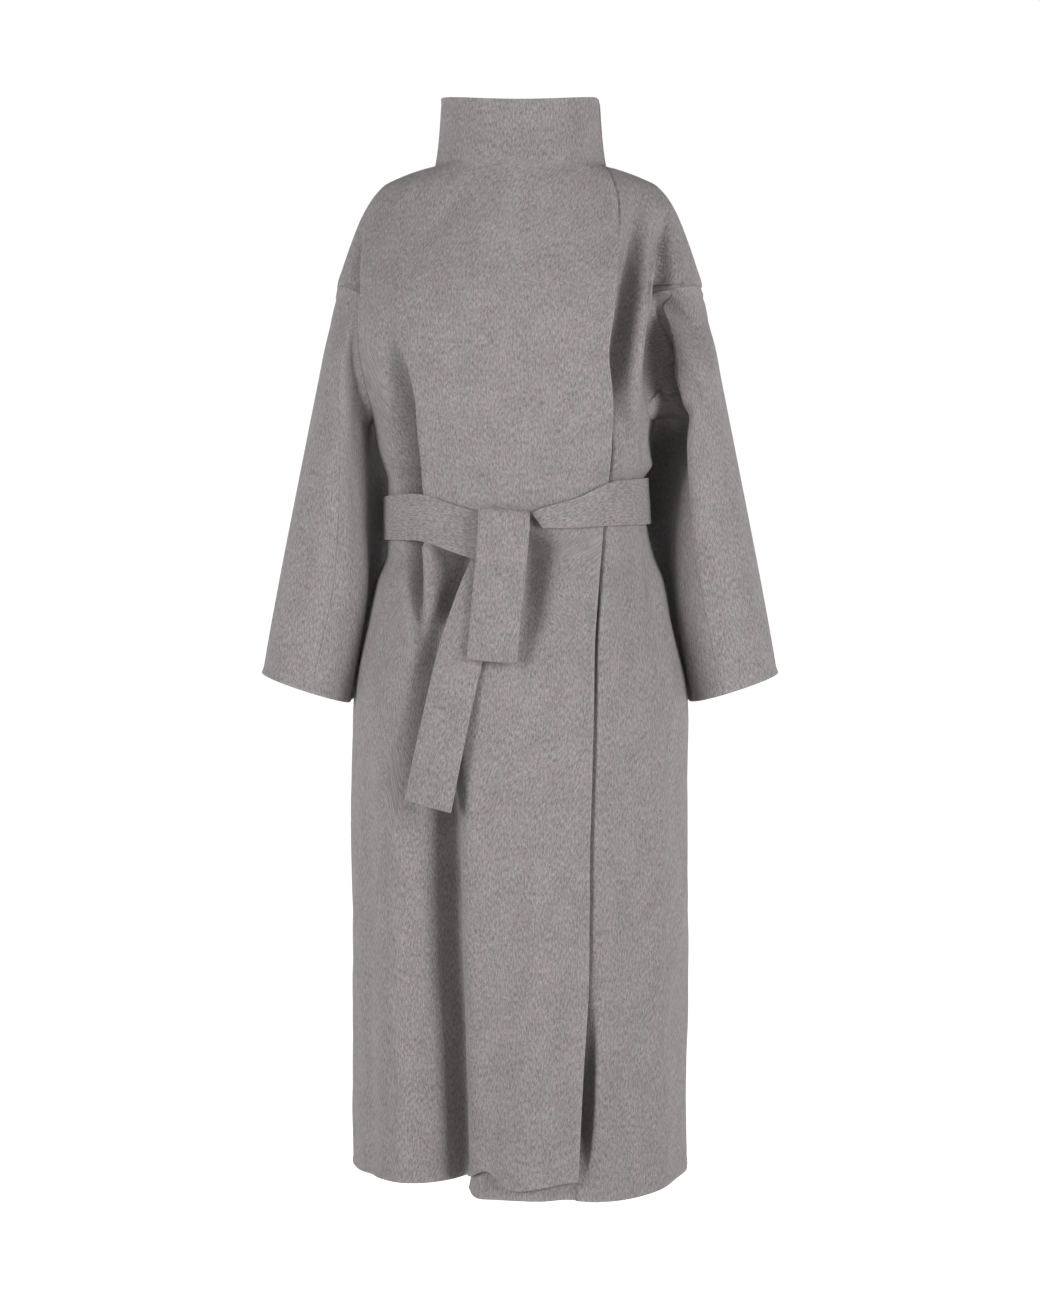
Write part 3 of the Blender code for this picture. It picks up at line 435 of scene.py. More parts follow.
# Wool: heathered dark and light fibres, brushed down, in warm and cool patches
WOOL_DARK = (0.199, 0.175, 0.177, 1.0)
WOOL_LIGHT = (0.426, 0.384, 0.388, 1.0)
COOL_DARK = (0.190, 0.179, 0.178, 1.0)
COOL_LIGHT = (0.410, 0.392, 0.390, 1.0)
WOOL_ROUGHNESS = 0.92
WOOL_SHEEN = 0.18
WOOL_SHEEN_ROUGHNESS = 0.5
WOOL_SPECULAR = 0.15
NAP_HEIGHT = 0.0006
NAP_STRENGTH = 0.35

# Kinds of fibre: how many a metre across the cloth and along it, their noise, its usual range, and how much
# they darken or lighten the wool
Fibre = namedtuple("Fibre", "across along detail roughness low high tone")
HAIRS = Fibre(760.0, 210.0, 2.0, 0.6, 0.25, 0.75, 0.40)
FINE_HAIRS = Fibre(2100.0, 520.0, 1.0, 0.5, 0.25, 0.75, 0.22)
FLECKS = Fibre(420.0, 150.0, 1.0, 0.5, 0.30, 0.70, 0.18)
CLOUDS = Fibre(45.0, 26.0, 2.0, 0.55, 0.30, 0.70, 0.08)
WARM_PATCHES = Fibre(62.0, 40.0, 1.0, 0.5, 0.34, 0.66, 0.0)
TONE_RANGE = 0.5

# The photo's camera
CAMERA_DISTANCE = 3.4
CAMERA_HEIGHT = -0.3277
CAMERA_TILT = math.radians(3.87)
LENS = 81.0

# Studio
FLOOR_DROP = 0.25
FLOOR_SIZE = 40.0
FLOOR_COLOUR = (0.80, 0.80, 0.80, 1.0)
FLOOR_ROUGHNESS = 0.8
WHITE = (1.0, 1.0, 1.0, 1.0)
FLOOR_GLOW = 1.0
FLOOR_GLOW_STARTS = -0.1
FLOOR_GLOW_FULL = 0.3
SURROUND_FRONT = 0.22
SURROUND_BACK = 1.02
SURROUND_BACK_STARTS = 0.45
SURROUND_BACK_FULL = 0.85
SURROUND_TOP = 0.05
SURROUND_TOP_STARTS = 0.20
SURROUND_TOP_FULL = 0.60
BOX_WIDTH = 1.1
BOX_HEIGHT = 2.2
Lamp = namedtuple("Lamp", "name place power")
SOFTBOXES = (
    Lamp("left_box", (-2.4, -1.95, 0.08), 60.0),
    Lamp("right_box", (2.3, -2.07, 0.08), 67.0),
)
LAMPS_AIM = (0.0, 0.0, -0.5)


def smooth_between(t, start, end, start_slope, end_slope):
    """A smooth curve from start, where t is 0, to end, where it is 1, with the given slopes there."""
    from_start = (1 + 2 * t) * (1 - t) ** 2 * start + t * (1 - t) ** 2 * start_slope
    return from_start + t * t * (3 - 2 * t) * end + t * t * (t - 1) * end_slope


def smooth_table(keys, values, at):
    """Values at the given places on a smooth curve through a table, with no overshoot between its rows."""
    order = np.argsort(keys)
    x = np.asarray(keys, float)[order]
    y = np.asarray(values, float)[order]
    step = np.diff(x)
    rise = np.diff(y) / step
    slope = np.empty_like(y)
    slope[0] = rise[0]
    slope[-1] = rise[-1]
    same_way = rise[:-1] * rise[1:] > 0
    safe = np.where(same_way, rise[:-1] + rise[1:], 1.0)
    slope[1:-1] = np.where(same_way, 2 * rise[:-1] * rise[1:] / safe, 0.0)
    at = np.clip(at, x[0], x[-1])
    k = np.clip(np.searchsorted(x, at) - 1, 0, len(step) - 1)
    t = (at - x[k]) / step[k]
    return smooth_between(t, y[k], y[k + 1], step[k] * slope[k], step[k] * slope[k + 1])


LOOKUP_HEIGHTS = np.linspace(SECTIONS[-1].height, SECTIONS[0].height, LOOKUP_STEPS)
LOOKUP = {}


def column_of(table, field, at):
    """A column of a table of heights at any height, from a fine list that is worked out once."""
    key = (id(table), field)
    if key not in LOOKUP:
        values = [getattr(row, field) for row in table]
        LOOKUP[key] = smooth_table([row.height for row in table], values, LOOKUP_HEIGHTS)
    return np.interp(at, LOOKUP_HEIGHTS, LOOKUP[key])


def ease(t):
    """0 below 0, 1 above 1, and smooth between."""
    t = np.clip(t, 0.0, 1.0)
    return t * t * (3 - 2 * t)


def unit(vectors):
    return vectors / np.maximum(np.linalg.norm(vectors, axis=-1, keepdims=True), TINY)


def half_widths(sine, height):
    return np.where(sine < 0, column_of(SECTIONS, "right", height), column_of(SECTIONS, "left", height))


def plain_ring(angle, height):
    """A point on the coat's plain outside, without folds, and its outward level direction."""
    sine = np.sin(angle)
    cosine = np.cos(angle)
    fullness = column_of(SECTIONS, "fullness", height)
    width = half_widths(sine, height)
    depth = np.where(cosine > 0, column_of(SECTIONS, "front", height), column_of(SECTIONS, "back", height))
    reach = (np.abs(sine) ** fullness + np.abs(cosine) ** fullness) ** (-1 / fullness)
    x = width * reach * sine
    y = -depth * reach * cosine
    out_x = np.sign(sine) * (np.abs(x) / width) ** (fullness - 1) / width
    out_y = -np.sign(cosine) * (np.abs(y) / depth) ** (fullness - 1) / depth
    length = np.hypot(out_x, out_y)
    return x, y, out_x / length, out_y / length


def angle_across(across, height, face=1):
    """The angle at which the plain outside is this far across, on the front (1) or the back (-1)."""
    fullness = column_of(SECTIONS, "fullness", height)
    share = np.clip(np.abs(across) / half_widths(across, height), 0.0, WIDEST_SHARE)
    angle = np.sign(across) * np.arctan(share / (1 - share**fullness) ** (1 / fullness))
    return angle if face > 0 else math.pi - angle


def turn_between(angle, other):
    return (angle - other + math.pi) % (2 * math.pi) - math.pi


def ring_radius(height):
    return (column_of(SECTIONS, "left", height) + column_of(SECTIONS, "front", height)) / 2


def edge_angle(edge, height):
    return angle_across(column_of(edge, "across", height), height)


def line_move(line, across, power, angle, height):
    """How far one fold or crease moves points, given where its line is across the coat at their heights."""
    off = turn_between(angle, angle_across(across, height, line.face)) * ring_radius(height) * line.face
    reach = np.where(off < 0, line.right, line.left)
    strength = ease((line.top - height) / line.fade_top) * ease((height - line.bottom) / line.fade_bottom)
    return line.depth * strength * np.exp(-(np.abs(off / reach) ** power))


def fold_depth(angle, height, layer):
    """How far the folds and creases of a layer move points outwards.

    Those of the back act on every layer, so that the sides meet.
    """
    total = np.zeros_like(angle)
    for line in FOLDS + CREASES:
        if line.layer not in (layer, "back"):
            continue
        near = (height < line.top) & (height > line.bottom)
        if not near.any():
            continue
        h = height[near]
        along = (line.top - h) / (line.top - line.bottom)
        across = line.top_across + (line.bottom_across - line.top_across) * along
        power = SOFT_POWER
        if isinstance(line, Crease):
            bow = line.mid_across - (line.top_across + line.bottom_across) / 2
            across = across + 4 * bow * along * (1 - along)
            power = line.power
        total[near] += line_move(line, across, power, angle[near], h)
    return total


def uneven(angle, height):
    """The cloth's slight unevenness, which dies away under the belt and on the neck."""
    total = np.zeros_like(angle)
    for wave in UNEVEN:
        total += wave.height * np.sin(wave.round_it * angle + wave.down * height + wave.phase)
    above_belt = ease((height - (BELT_TOP + UNEVEN_ABOVE_BELT)) / UNEVEN_ABOVE_FADE)
    below_belt = ease((BELT_BOTTOM - UNEVEN_BELOW_BELT - height) / UNEVEN_BELOW_FADE)
    return total * (above_belt + below_belt) * ease((UNEVEN_TOP - height) / UNEVEN_TOP_FADE)


def beyond_outer_edge(angle, height):
    return turn_between(angle, edge_angle(OUTER_EDGE, height)) * ring_radius(height)


def tucked_in(angle, height):
    """How far the under front lies inside the outer front, running out beyond the outer edge."""
    beyond = beyond_outer_edge(angle, height)
    lower = ease((TOP_LAYER_ENDS - height) / -TOP_LAYER_ENDS)
    gap = TOP_LAYER_GAP + (LAYER_GAP - TOP_LAYER_GAP) * lower
    layer = (CLOTH + gap) * (1 - ease(beyond / STEP_OUT))
    opening = HEM_OPENING * ease((HEM_OPENING_TOP - height) / (HEM_OPENING_TOP - HEM))
    opening = opening * (1 - HEM_CLOSES * ease((HEM_CLOSING_TOP - height) / (HEM_CLOSING_TOP - HEM)))
    reach = np.where(beyond < 0, HEM_OPENING_REACHES["under"], HEM_OPENING_REACHES["beyond"])
    return layer + opening * np.exp(-((beyond / reach) ** 2))


def folded_point(angle, height, layer):
    """Points on a layer's outside with its folds. Where it is covered, the under front follows the outer."""
    x, y, out_x, out_y = plain_ring(angle, height)
    move = fold_depth(angle, height, layer) + uneven(angle, height)
    if layer == "under":
        covered = 1 - ease(beyond_outer_edge(angle, height) / STEP_OUT)
        move = move + covered * fold_depth(angle, height, "outer")
    return np.stack([x + move * out_x, y + move * out_y, height], axis=-1)


def level_direction(out_x, out_y):
    return np.stack([out_x, out_y, np.zeros_like(out_x)], axis=-1)


def grid_facing(points, outward):
    """Which way a grid of points faces, turned to agree with a rough outward direction."""
    normal = unit(np.cross(np.gradient(points, axis=1), np.gradient(points, axis=0)))
    return normal if (normal * outward).sum() > 0 else -normal


def coat_surface(angles, heights, layer):
    """A layer's outside as a grid of points, and which way it faces."""
    points = folded_point(angles, heights, layer)
    outward = level_direction(*plain_ring(angles, heights)[2:])
    if layer == "under":
        points = points - tucked_in(angles, heights)[..., None] * grid_facing(points, outward)
    return points, grid_facing(points, outward)


def hem_rise(angle, height, layer):
    """How far the front hem's waves lift a layer's points, which is nothing above the hem's zone."""
    across = plain_ring(angle, height)[0]
    front = np.cos(angle) > 0
    total = np.zeros_like(angle)
    for wave in HEM_WAVES:
        if wave.layer == layer:
            total += np.where(front, wave.rise * np.exp(-(((across - wave.across) / wave.reach) ** 2)), 0.0)
    return total * ease((HEM_ZONE_TOP - height) / (HEM_ZONE_TOP - HEM))


def neck_drop(angle, height, layer):
    """How far the neck's rows dip at the front, most at the top. The under front lies a little lower."""
    dip = NECK_FRONT_DIP * np.clip(np.cos(angle), 0, 1) ** 2
    if layer == "under":
        dip = dip + UNDER_NECK_DROP
    return dip * ease(height / NECK_HEIGHT)


def armhole_share(height):
    """How wide the armhole is at a height, as a share of its full width."""
    off = np.clip(np.abs(height - ARMHOLE_MIDDLE) / ARMHOLE_HALF, 0, 1)
    return (1 - off**ARMHOLE_SQUARENESS) ** (1 / ARMHOLE_SQUARENESS)


def armhole_front(height, layer):
    """How far round the armhole reaches to the front at a height: less and less down from its top."""
    down = np.clip((ARMHOLE_TOP - height) / (ARMHOLE_TOP - ARMHOLE_BOTTOM), 0, 1)
    return ARMHOLE_FRONT_ANGLES[layer] * (1 - ARMHOLE_FRONT_TAPER * down)


def armhole_turn(column):
    """The turn of an armhole's point: column 0 is its top, ARMHOLE_STEPS its bottom, more is up its back."""
    half = ARMHOLE_STEPS / 2
    if column < 0:
        return -armhole_turn(-column)
    if column > ARMHOLE_STEPS:
        return 2 * math.pi - armhole_turn(2 * ARMHOLE_STEPS - column)
    if column > half:
        return math.pi - armhole_turn(ARMHOLE_STEPS - column)
    off = 1 - (column / half) ** ARMHOLE_ROW_POWER
    return math.acos(off ** (ARMHOLE_SQUARENESS / 2))


def armhole_level(turn):
    cosine = np.cos(turn)
    return ARMHOLE_MIDDLE + ARMHOLE_HALF * np.sign(cosine) * np.abs(cosine) ** (2 / ARMHOLE_SQUARENESS)


def stretch(top, bottom, step):
    """Heights from top down to bottom, without the bottom one."""
    return list(np.linspace(top, bottom, max(2, round((top - bottom) / step)), endpoint=False))


def body_levels():
    """Heights of a body piece's rows below the neck, from just under its base to just over the hem."""
    share = np.linspace(0, 1, ARMHOLE_HALF_ROWS + 1)
    upper = ARMHOLE_MIDDLE + ARMHOLE_HALF * (1 - share**ARMHOLE_LEVEL_POWER)
    levels = stretch(0.0, SHOULDER_END, SHOULDER_STEP)
    levels += stretch(SHOULDER_END, ARMHOLE_TOP, YOKE_STEP)
    levels += list(upper[:-1]) + list(2 * ARMHOLE_MIDDLE - upper[::-1])
    levels += stretch(ARMHOLE_BOTTOM, BELT_TOP, WAIST_STEP)[1:]
    levels += stretch(BELT_TOP, HIP, WAIST_STEP)
    levels += stretch(HIP, HEM, SKIRT_STEP)
    return levels[1:]


def with_edges(levels, top, bottom, top_edge, bottom_edge):
    """Adds the rows of a rounded top and bottom edge to a list of heights."""
    above = list(top - EDGE_PLACES * top_edge)
    below = list(bottom + EDGE_PLACES[::-1] * bottom_edge)
    between = [h for h in levels if above[-1] - top_edge > h > below[0] + bottom_edge]
    return above + between + below


def edged(even, first_edge, last_edge):
    """Evenly spaced places with those of a rounded edge at both ends."""
    after_first = even > even[0] + 2 * first_edge[-1]
    before_last = even < even[-1] - 2 * last_edge[-1]
    between = even[after_first & before_last]
    return np.concatenate([even[0] + first_edge, between, even[-1] - last_edge[::-1]])


def row_angles(stops, level, edges):
    """Angles of one row's points: even between stops, with the columns of a rounded edge at both ends.

    Each stop is an angle and the number of columns up to it from the stop before.
    """
    result = []
    last = len(stops) - 2
    for n, ((start, _), (end, columns)) in enumerate(zip(stops, stops[1:])):
        fine = np.linspace(start, end, RING_SAMPLES)
        x, y, _, _ = plain_ring(fine, np.full_like(fine, level))
        length = np.concatenate([[0], np.cumsum(np.hypot(np.diff(x), np.diff(y)))])
        places = np.linspace(0, length[-1], columns + 1)
        if n == 0:
            places = np.concatenate([SEAM_GAP / 2 + EDGE_PLACES * edges[0], places[1:]])
        else:
            places = places[1:]
        if n == last:
            last_edge = length[-1] - SEAM_GAP / 2 - EDGE_PLACES[::-1] * edges[1]
            places = np.concatenate([places[:-1], last_edge])
        result.append(np.interp(places, length, fine))
    return np.concatenate(result)


def edge_profile(count):
    """How full the cloth is at each of a row's or column's places: nothing at the very edge."""
    full = np.ones(count)
    round_edge = np.sqrt(1 - (1 - EDGE_PLACES) ** 2)
    full[: len(round_edge)] = round_edge
    full[-len(round_edge) :] = round_edge[::-1]
    return full


def lengths_along(points, axis):
    """Distances along a grid's columns (axis 0) or rows (axis 1) from their first points."""
    first = np.take(points, [0], axis=axis)
    return np.cumsum(np.linalg.norm(np.diff(points, axis=axis, prepend=first), axis=-1), axis=axis)


def edge_rolls(points, rolls):
    """How far the cloth stands proud at its top, bottom, first and last edges, and how much painted
    highlight lightens its colour there.
    """
    down = lengths_along(points, 0)
    along = lengths_along(points, 1)
    proud = np.zeros(points.shape[:2])
    light = np.zeros(points.shape[:2])
    distances = (down, down[-1:] - down, along, along[:, -1:] - along)
    for distance, roll in zip(distances, rolls):
        proud = np.maximum(proud, roll.height * np.exp(-((distance / roll.reach) ** 2)))
        # painted highlight: the colour is lightened close to each edge, as if light caught it
        light = np.maximum(light, roll.light * np.exp(-((distance / PAINTED_EDGE_HIGHLIGHT_REACH) ** 2)))
    return proud, light


def quads(index):
    """The four-sided faces of a grid of point numbers."""
    corners = [index[:-1, :-1], index[1:, :-1], index[1:, 1:], index[:-1, 1:]]
    return np.stack(corners, axis=-1).reshape(-1, 4)


def mesh_piece(node, points, faces, grain, wool):
    """A smooth piece of wool, with the grain of each point as a UV map in metres."""
    name = "cloth_" + node
    data = bpy.data.meshes.new(name)
    data.from_pydata(points, [], faces)
    corners = [point for face in faces for point in face]
    data.uv_layers.new(name="grain").data.foreach_set("uv", grain[corners].astype(np.float32).ravel())
    data.polygons.foreach_set("use_smooth", np.ones(len(faces), bool))
    data.materials.append(wool)
    data.update()
    piece = bpy.data.objects.new(name, data)
    bpy.context.scene.collection.objects.link(piece)
    return piece


def cloth_piece(node, outside, normal, thickness, wool, rolls):
    """A sheet of cloth with rounded edges, closed all round, with its flat size and area.

    outside is a grid of points on the cloth's outer face. The edges' rows and columns come first and last.
    """
    rows, columns = outside.shape[:2]
    proud, light = edge_rolls(outside, rolls)
    outside = outside + proud[..., None] * normal
    half = thickness / 2
    full = edge_profile(rows)[:, None] * edge_profile(columns)[None, :]
    middle = outside - half * normal
    upper = middle + (half * full)[..., None] * normal
    lower = middle - (half * full)[..., None] * normal
    upper_index = np.arange(rows * columns).reshape(rows, columns)
    lower_index = upper_index.copy()
    inner = (rows - 2) * (columns - 2)
    lower_index[1:-1, 1:-1] = rows * columns + np.arange(inner).reshape(rows - 2, columns - 2)
    points = np.concatenate([upper.reshape(-1, 3), lower[1:-1, 1:-1].reshape(-1, 3)])
    spans = np.cross(np.diff(middle, axis=0)[:, :-1], np.diff(middle, axis=1)[:-1])
    area = np.linalg.norm(spans, axis=-1).sum()
    front = quads(upper_index)
    back = quads(lower_index)[:, ::-1]
    if np.einsum("ijk,ijk", spans, normal[:-1, :-1]) < 0:
        front = front[:, ::-1]
        back = back[:, ::-1]
    faces = np.concatenate([front, back])
    across = lengths_along(middle, 1)
    along = lengths_along(middle, 0)
    size = (float(across[:, -1].max()), float(along[-1].max()))
    grain = np.stack([across - across.mean(axis=1, keepdims=True), -along], axis=-1) + GRAIN_STARTS[node]
    grain = np.concatenate([grain.reshape(-1, 2), grain[1:-1, 1:-1].reshape(-1, 2)])
    piece = mesh_piece(node, points.tolist(), faces.tolist(), grain, wool)
    # The painted edge highlight goes to each point as an attribute that the material reads
    light = np.concatenate([light.ravel(), light[1:-1, 1:-1].ravel()]).astype(np.float32)
    piece.data.attributes.new("painted_edge_highlight", "FLOAT", "POINT").data.foreach_set("value", light)
    return piece, size, float(area)


def declare(piece, node):
    """Hangs a finished piece under the root body and hides the solid that it replaces."""
    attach(piece, "root")
    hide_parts(node)


def body_piece(node, levels, stops_at, layer, edges, rolls, wool):
    """A piece of the body, with rows at the given levels between stops that depend on the level."""
    angles = np.array([row_angles(stops_at(level), level, edges) for level in levels])
    flat = np.repeat(np.array(levels)[:, None], angles.shape[1], axis=1)
    heights = flat + hem_rise(angles, flat, layer) - neck_drop(angles, flat, layer)
    outside, normal = coat_surface(angles, heights, layer)
    piece, size, area = cloth_piece(node, outside, normal, CLOTH, wool, rolls)
    declare(piece, node)


def front_side_angle(height, layer):
    return SIDE - armhole_front(height, layer) * armhole_share(height)


def outer_stops(level):
    edge = (edge_angle(OUTER_EDGE, level), 0)
    flank = (-FLANK_ANGLE, OUTER_COLUMNS)
    return edge, flank, (-front_side_angle(level, "outer"), FLANK_COLUMNS)


def under_stops(level):
    outer_edge = edge_angle(OUTER_EDGE, level)
    side = (front_side_angle(level, "under"), 0)
    flank = (outer_edge + UNDER_FLANK_SHARE * (SIDE - outer_edge), UNDER_FLANK_COLUMNS)
    covered = (outer_edge, UNDER_SEEN_COLUMNS)
    return side, flank, covered, (edge_angle(UNDER_EDGE, level), UNDER_HIDDEN_COLUMNS)


def back_stops(level):
    opening = SIDE + ARMHOLE_BACK_ANGLE * armhole_share(level)
    flank = math.pi - FLANK_ANGLE
    right = (2 * math.pi - opening, 0)
    right_flank = (2 * math.pi - flank, FLANK_COLUMNS)
    return right, right_flank, (flank, BACK_COLUMNS), (opening, FLANK_COLUMNS)


# How high an edge stands proud, how far that reaches, and the strength of its painted highlight
Roll = namedtuple("Roll", "height reach light")
FREE_ROLL = Roll(EDGE_ROLL, EDGE_ROLL_REACH, 1.0)
SEWN_ROLL = Roll(SEAM_ROLL, SEAM_ROLL_REACH, 0.5)
BELT_ROLL = Roll(SEAM_ROLL, SEAM_ROLL_REACH, 0.8)


def body_pieces(wool):
    """The two fronts with their halves of the neck, the back, and the back of the neck."""
    neck = stretch(NECK_HEIGHT, 0.0, NECK_STEP)
    body = body_levels()
    whole = with_edges(neck + [0.0] + body, NECK_HEIGHT, HEM, FREE_EDGE, FREE_EDGE)
    lower = with_edges(body, -SEAM_GAP / 2, HEM, SEAM_EDGE, FREE_EDGE)
    upper = with_edges(neck, NECK_HEIGHT, SEAM_GAP / 2, FREE_EDGE, SEAM_EDGE)
    free_then_seam = (FREE_EDGE, SEAM_EDGE)
    seam_then_free = (SEAM_EDGE, FREE_EDGE)
    seams = (SEAM_EDGE, SEAM_EDGE)
    outer = (FREE_ROLL, FREE_ROLL, FREE_ROLL, SEWN_ROLL)
    under = (FREE_ROLL, FREE_ROLL, SEWN_ROLL, FREE_ROLL)
    back = (SEWN_ROLL, FREE_ROLL, SEWN_ROLL, SEWN_ROLL)
    collar = (FREE_ROLL, SEWN_ROLL, SEWN_ROLL, SEWN_ROLL)
    body_piece("front_outer", whole, outer_stops, "outer", free_then_seam, outer, wool)
    body_piece("front_under", whole, under_stops, "under", seam_then_free, under, wool)
    body_piece("back", lower, back_stops, "back", seams, back, wool)
    body_piece("collar_back", upper, back_stops, "back", seams, collar, wool)


def armhole_point(turn, side, layer):
    """A point of the armhole's edge: turn 0 is its top, 90 degrees its front, 180 degrees its bottom."""
    sine = np.sin(turn)
    share = np.abs(sine) ** (2 / ARMHOLE_SQUARENESS)
    height = armhole_level(turn)
    angle = SIDE + np.where(sine > 0, -armhole_front(height, layer), ARMHOLE_BACK_ANGLE) * share
    return folded_point(side * angle, height, layer)


def sleeve_ring_point(ring, turn, side):
    cosine = np.sign(np.cos(turn)) * np.abs(np.cos(turn)) ** (2 / SLEEVE_FULLNESS)
    sine = np.sign(np.sin(turn)) * np.abs(np.sin(turn)) ** (2 / SLEEVE_FULLNESS)
    behind = np.clip(-np.sin(turn), 0, 1) ** 2 * (1 - np.cos(turn)) / 2
    lean = ring.right_lean if side < 0 else ring.left_lean
    x = (ring.outer_x + ring.inner_x) / 2 + (ring.outer_x - ring.inner_x) / 2 * cosine - lean * behind
    z = (ring.outer_z + ring.inner_z) / 2 + (ring.outer_z - ring.inner_z) / 2 * cosine
    y = np.where(sine > 0, -ring.front, ring.back) * np.abs(sine)
    return np.stack([side * x, y, z], axis=-1)


def smooth_rings(rings, along):
    """Points at a place from 0 to 1 along evenly spaced rings, on smooth curves through the rings."""
    rise = np.diff(rings, axis=0)
    slope = np.concatenate([rise[:1], rise])
    slope[1:-1] = (rise[:-1] + rise[1:]) / 2
    place = along * len(rise)
    k = np.clip(place.astype(int), 0, len(rise) - 1)
    t = (place - k)[..., None]
    low = k[None, ..., None]
    start, end = (np.take_along_axis(rings, low + n, axis=0)[0] for n in (0, 1))
    start_slope, end_slope = (np.take_along_axis(slope, low + n, axis=0)[0] for n in (0, 1))
    return smooth_between(t, start, end, start_slope, end_slope)


def sleeve_point(turn, along, cut):
    """Points on a sleeve's outside: along runs from 0 at the armhole to 1 at the cuff."""
    armhole = armhole_point(turn, cut.side, cut.layer)
    rings = [sleeve_ring_point(ring, turn, cut.side) for ring in SLEEVE_RINGS]
    clear = unit(rings[0] - armhole) + np.array([cut.side, 0.0, 0.0])
    return smooth_rings(np.array([armhole + ARMHOLE_GAP * clear] + rings), along)


def front_seam(cut, along):
    """The turn of a sleeve's front seam at places along the sleeve."""
    places = np.linspace(0, 1, len(SLEEVE_RINGS) + 1)[1:]
    seam_turns = [getattr(ring, cut.seam_field) for ring in SLEEVE_RINGS]
    low_seam = np.radians(smooth_table(places, seam_turns, along))
    top_seam = armhole_turn(cut.seam_column)
    return top_seam + (low_seam - top_seam) * ease(along / SEAM_SETTLES)


def sleeve_fold_depth(turn, along, cut):
    """How far a sleeve's folds and hollows move points outwards."""
    total = np.zeros_like(turn)
    for fold in SLEEVE_FOLDS:
        if fold.name != cut.name:
            continue
        share = np.clip((along - fold.start) / (fold.end - fold.start), 0, 1)
        centre = np.radians(fold.start_turn + (fold.end_turn - fold.start_turn) * share)
        strength = ease(share / SLEEVE_FOLD_FADES_IN) * ease((1 - share) / SLEEVE_FOLD_FADES_OUT)
        off = np.abs(turn_between(turn, centre)) / math.radians(fold.reach)
        total += fold.depth * strength * np.exp(-(off**fold.power))
    for hollow in SLEEVE_HOLLOWS:
        if hollow.name == cut.name:
            off = turn_between(turn, front_seam(cut, along) + math.radians(hollow.past))
            reach = np.radians(np.where(off < 0, hollow.near, hollow.far))
            strength = ease(along / hollow.full) * ease((hollow.end - along) / (hollow.end - hollow.full))
            power = np.where(off < 0, SOFT_POWER, HOLLOW_FAR_POWER)
            total += hollow.depth * strength * np.exp(-(np.abs(off / reach) ** power))
    return total


def sleeve_facing(point_at, turn, along, cut):
    """Which way a sleeve's surface faces, from small steps round it and along it."""
    round_it = point_at(turn + SLEEVE_TURN_STEP, along, cut) - point_at(turn - SLEEVE_TURN_STEP, along, cut)
    before = np.clip(along - SLEEVE_ALONG_STEP, 0, 1)
    after = np.clip(along + SLEEVE_ALONG_STEP, 0, 1)
    down = point_at(turn, after, cut) - point_at(turn, before, cut)
    return unit(np.cross(down, round_it)) * -cut.side


def folded_sleeve_point(turn, along, cut):
    """Points on a sleeve's outside with its folds and hollows."""
    move = sleeve_fold_depth(turn, along, cut)[..., None]
    return sleeve_point(turn, along, cut) + move * sleeve_facing(sleeve_point, turn, along, cut)


def sleeve_turns(cut, part, along):
    """Turns of a sleeve piece's points: the armhole's own at the top, even between its seams further down.

    The points at the armhole's top and bottom stay there all the way down.
    """
    front = front_seam(cut, along)
    back = np.full_like(front, math.radians(SLEEVE_BACK_SEAM))
    if part == "outer":
        first, middle, last = BACK_SEAM_COLUMN, 0, cut.seam_column
        seams = back, front
    else:
        first, middle, last = cut.seam_column, ARMHOLE_STEPS, 2 * ARMHOLE_STEPS + BACK_SEAM_COLUMN
        seams = front, back + 2 * math.pi
    columns = round((last - first) * ARMHOLE_HALF_ROWS / (ARMHOLE_STEPS / 2))
    share = np.linspace(0, 1, columns + 1)
    settled_seams = [np.interp(SLEEVE_SETTLES, along, seam) for seam in seams]
    stays = (armhole_turn(middle) - settled_seams[0]) / (settled_seams[1] - settled_seams[0])
    top_columns = np.interp(share, [0, stays, 1], [first, middle, last])
    top = np.array([armhole_turn(column) for column in top_columns])
    stay = armhole_turn(middle)
    near = np.array([np.interp(top, [top[0], stay, top[-1]], [a, stay, b]) for a, b in zip(*seams)])
    low = seams[0][:, None] * (1 - share) + seams[1][:, None] * share
    settled = ease(along / SLEEVE_SETTLES)[:, None]
    return near * (1 - settled) + low * settled


def with_seam_columns(turns, points):
    """Replaces the first and last turns of each row by those of a rounded seam edge."""
    from_seam = SLEEVE_SEAM_GAP / 2 + EDGE_PLACES * SEAM_EDGE
    first_gap = np.linalg.norm(points[:, 1] - points[:, 0], axis=-1)[:, None]
    last_gap = np.linalg.norm(points[:, -1] - points[:, -2], axis=-1)[:, None]
    first = turns[:, :1] + (turns[:, 1:2] - turns[:, :1]) * from_seam / first_gap
    last = turns[:, -1:] - (turns[:, -1:] - turns[:, -2:-1]) * from_seam[::-1] / last_gap
    return np.concatenate([first, turns[:, 1:-1], last], axis=1)


def sleeve_piece(cut, part, wool):
    """One piece of a sleeve between its front seam and its back seam."""
    even = np.linspace(0, 1, SLEEVE_ROWS + 1) ** SLEEVE_ROW_POWER
    along = edged(even, EDGE_PLACES * SEAM_EDGE / SLEEVE_LENGTH, EDGE_PLACES * FREE_EDGE / SLEEVE_LENGTH)
    turns = sleeve_turns(cut, part, along)
    places = np.repeat(along[:, None], turns.shape[1], axis=1)
    turns = with_seam_columns(turns, sleeve_point(turns, places, cut))
    places = np.repeat(along[:, None], turns.shape[1], axis=1)
    outside = folded_sleeve_point(turns, places, cut)
    normal = sleeve_facing(folded_sleeve_point, turns, places, cut)
    node = f"{cut.name}_{part}"
    rolls = (SEWN_ROLL, FREE_ROLL, SEWN_ROLL, SEWN_ROLL)
    piece, size, area = cloth_piece(node, outside, normal, CLOTH, wool, rolls)
    declare(piece, node)


